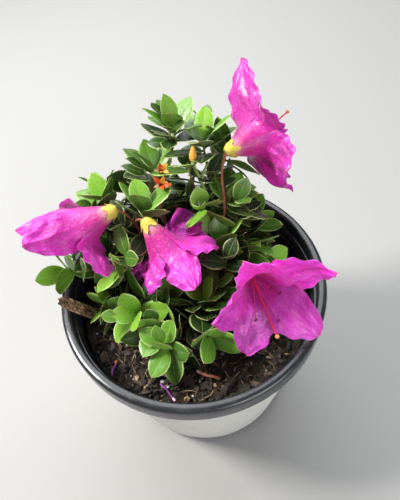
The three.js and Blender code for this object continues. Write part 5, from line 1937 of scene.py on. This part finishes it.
def pot_material():
    """Black plastic, glossy, with faint moulding ripple, dust and scuffs."""
    look = Look("black_plastic", (0.016, 0.017, 0.02), 0.28, 0.65)
    look.tones((0.09, 6, 0.65), [
        (0.35, (0.011, 0.012, 0.015)),
        (0.55, (0.016, 0.017, 0.021)),
        (0.75, (0.03, 0.031, 0.034)),
    ])
    look.rough((0.2, 5), 0.2, 0.3)
    look.bump((1.4, 3, 0.5), 0.006, 0.4)
    look.bump((0.12, 2, 0.4), 0.12, 0.4)
    return look.material


def film_material():
    """Off-white label film, a little grubby."""
    look = Look("label_film", (0.6, 0.585, 0.545), 0.42, 0.45)
    look.tones((0.05, 6, 0.7), [
        (0.3, (0.57, 0.555, 0.51)),
        (0.5, (0.62, 0.605, 0.565)),
        (0.75, (0.66, 0.645, 0.61)),
    ])
    look.rough((0.25, 5, 0.65), 0.34, 0.55)
    look.bump((0.3, 4, 0.5), 0.08, 0.5)
    return look.material


def compost_material():
    """Dark moist compost, with lighter crumbs."""
    look = Look("compost", (0.03, 0.02, 0.013), 0.9, 0.3)
    crumbs = (0.7, 8, 0.75)
    look.tones(crumbs, [
        (0.35, (0.015, 0.011, 0.008)),
        (0.55, (0.05, 0.036, 0.025)),
        (0.72, (0.13, 0.09, 0.06)),
    ])
    look.bump(crumbs, 1.4)
    look.bump((3.5, 5, 0.7), 0.4)
    look.rough((0.5,), 0.7, 0.98)
    return look.material


def chip_material():
    """Torn brown bark, painted lighter for the light on its fibres' tops, with painted shade in the gaps
    between them.
    """
    look = Look("torn_bark", (0.2, 0.12, 0.07), 0.85, 0.3)
    fibres = (0.7, 4, 0.6, (1.5, 1.5, 0.16))
    # The darkest stop is painted shade in the sunken gaps, and the palest is painted light on the fibres'
    # tops
    look.tones(fibres, [
        (0.36, (0.05, 0.026, 0.015)),
        (0.46, (0.22, 0.125, 0.075)),
        (0.56, (0.5, 0.31, 0.19)),
        (0.7, (0.72, 0.5, 0.34)),
    ])
    look.bump(fibres, 0.8)
    look.rough((1.2,), 0.7, 0.95)
    return look.material


# The camera's place and its axes, in millimetres, as the photograph was taken
CAMERA_PLACE = [5.9, -120.8, 290.7]
CAMERA_RIGHT = [0.99098, -0.10771, -0.07970]
CAMERA_UP = [0.13399, 0.79661, 0.58946]
CAMERA_BACK = [0.0, -0.59482, 0.80386]
CAMERA_LENS = 32.4
SENSOR = 36
NEAREST_SEEN = 0.01
FLOOR_SIZE = 6000
FLOOR_COLOUR = (0.36, 0.353, 0.342)
# Round area lights: a place and a target in millimetres, a size in millimetres, watts and a colour
LIGHTS = [
    ("key", (-520, 120, 730), (0, 0, 100), 200, 10.5, (1.0, 0.98, 0.94)),
    ("fill", (380, -640, 420), (0, 0, 90), 600, 4.0, (0.95, 0.98, 1.0)),
    ("sky", (-20, 570, 815), (0, 0, 100), 1150, 12.5, (0.93, 0.97, 1.0)),
]
WORLD_LIGHT = (0.8, 0.84, 0.9)
WORLD_STRENGTH = 0.3


def make_floor():
    corners = [(-1, -1, 0), (1, -1, 0), (1, 1, 0), (-1, 1, 0)]
    mesh = new_mesh("floor", np.array(corners) * FLOOR_SIZE / 2, [(0, 1, 2, 3)])
    look = Look("floor", FLOOR_COLOUR, 0.85, 0.3)
    look.bump((0.12, 3), 0.3, 0.3)
    mesh.materials.append(look.material)
    floor = new_object("floor", mesh)
    floor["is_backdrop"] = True


def make_lights():
    for name, place, target, size, watts, colour in LIGHTS:
        data = bpy.data.lights.new(name, "AREA")
        data.shape, data.size, data.energy, data.color = "DISK", size * MM, watts, colour
        turn = (Vector(target) - Vector(place)).to_track_quat("-Z", "Y").to_matrix().to_4x4()
        new_object(name, data).matrix_world = Matrix.Translation(Vector(place) * MM) @ turn
    world = bpy.data.worlds.new("studio")
    world.use_nodes = True
    sky = world.node_tree.nodes["Background"]
    sky.inputs["Color"].default_value = (*WORLD_LIGHT, 1)
    sky.inputs["Strength"].default_value = WORLD_STRENGTH
    bpy.context.scene.world = world


def make_camera():
    data = bpy.data.cameras.new("camera")
    data.lens, data.sensor_width, data.clip_start = CAMERA_LENS, SENSOR, NEAREST_SEEN
    camera = new_object("camera", data)
    turn = Matrix(np.array([CAMERA_RIGHT, CAMERA_UP, CAMERA_BACK]).T.tolist()).to_4x4()
    camera.matrix_world = Matrix.Translation(Vector(CAMERA_PLACE) * MM) @ turn
    bpy.context.scene.camera = camera


def write_sizes():
    boxes = {"cad": CAD_BOX, "visual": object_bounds()}
    {name: [list(corner) for corner in box] for name, box in boxes.items()}


make_camera()
tips = bough_tips()
grow_trunk()
grow_boughs()
grow_foliage(tips)
grow_blooms(tips)
make_pot()
make_film()
make_compost_body()
make_litter()
make_strands()
make_chip()
make_floor()
make_lights()
bpy.context.scene.view_settings.view_transform = "Standard"
write_sizes()
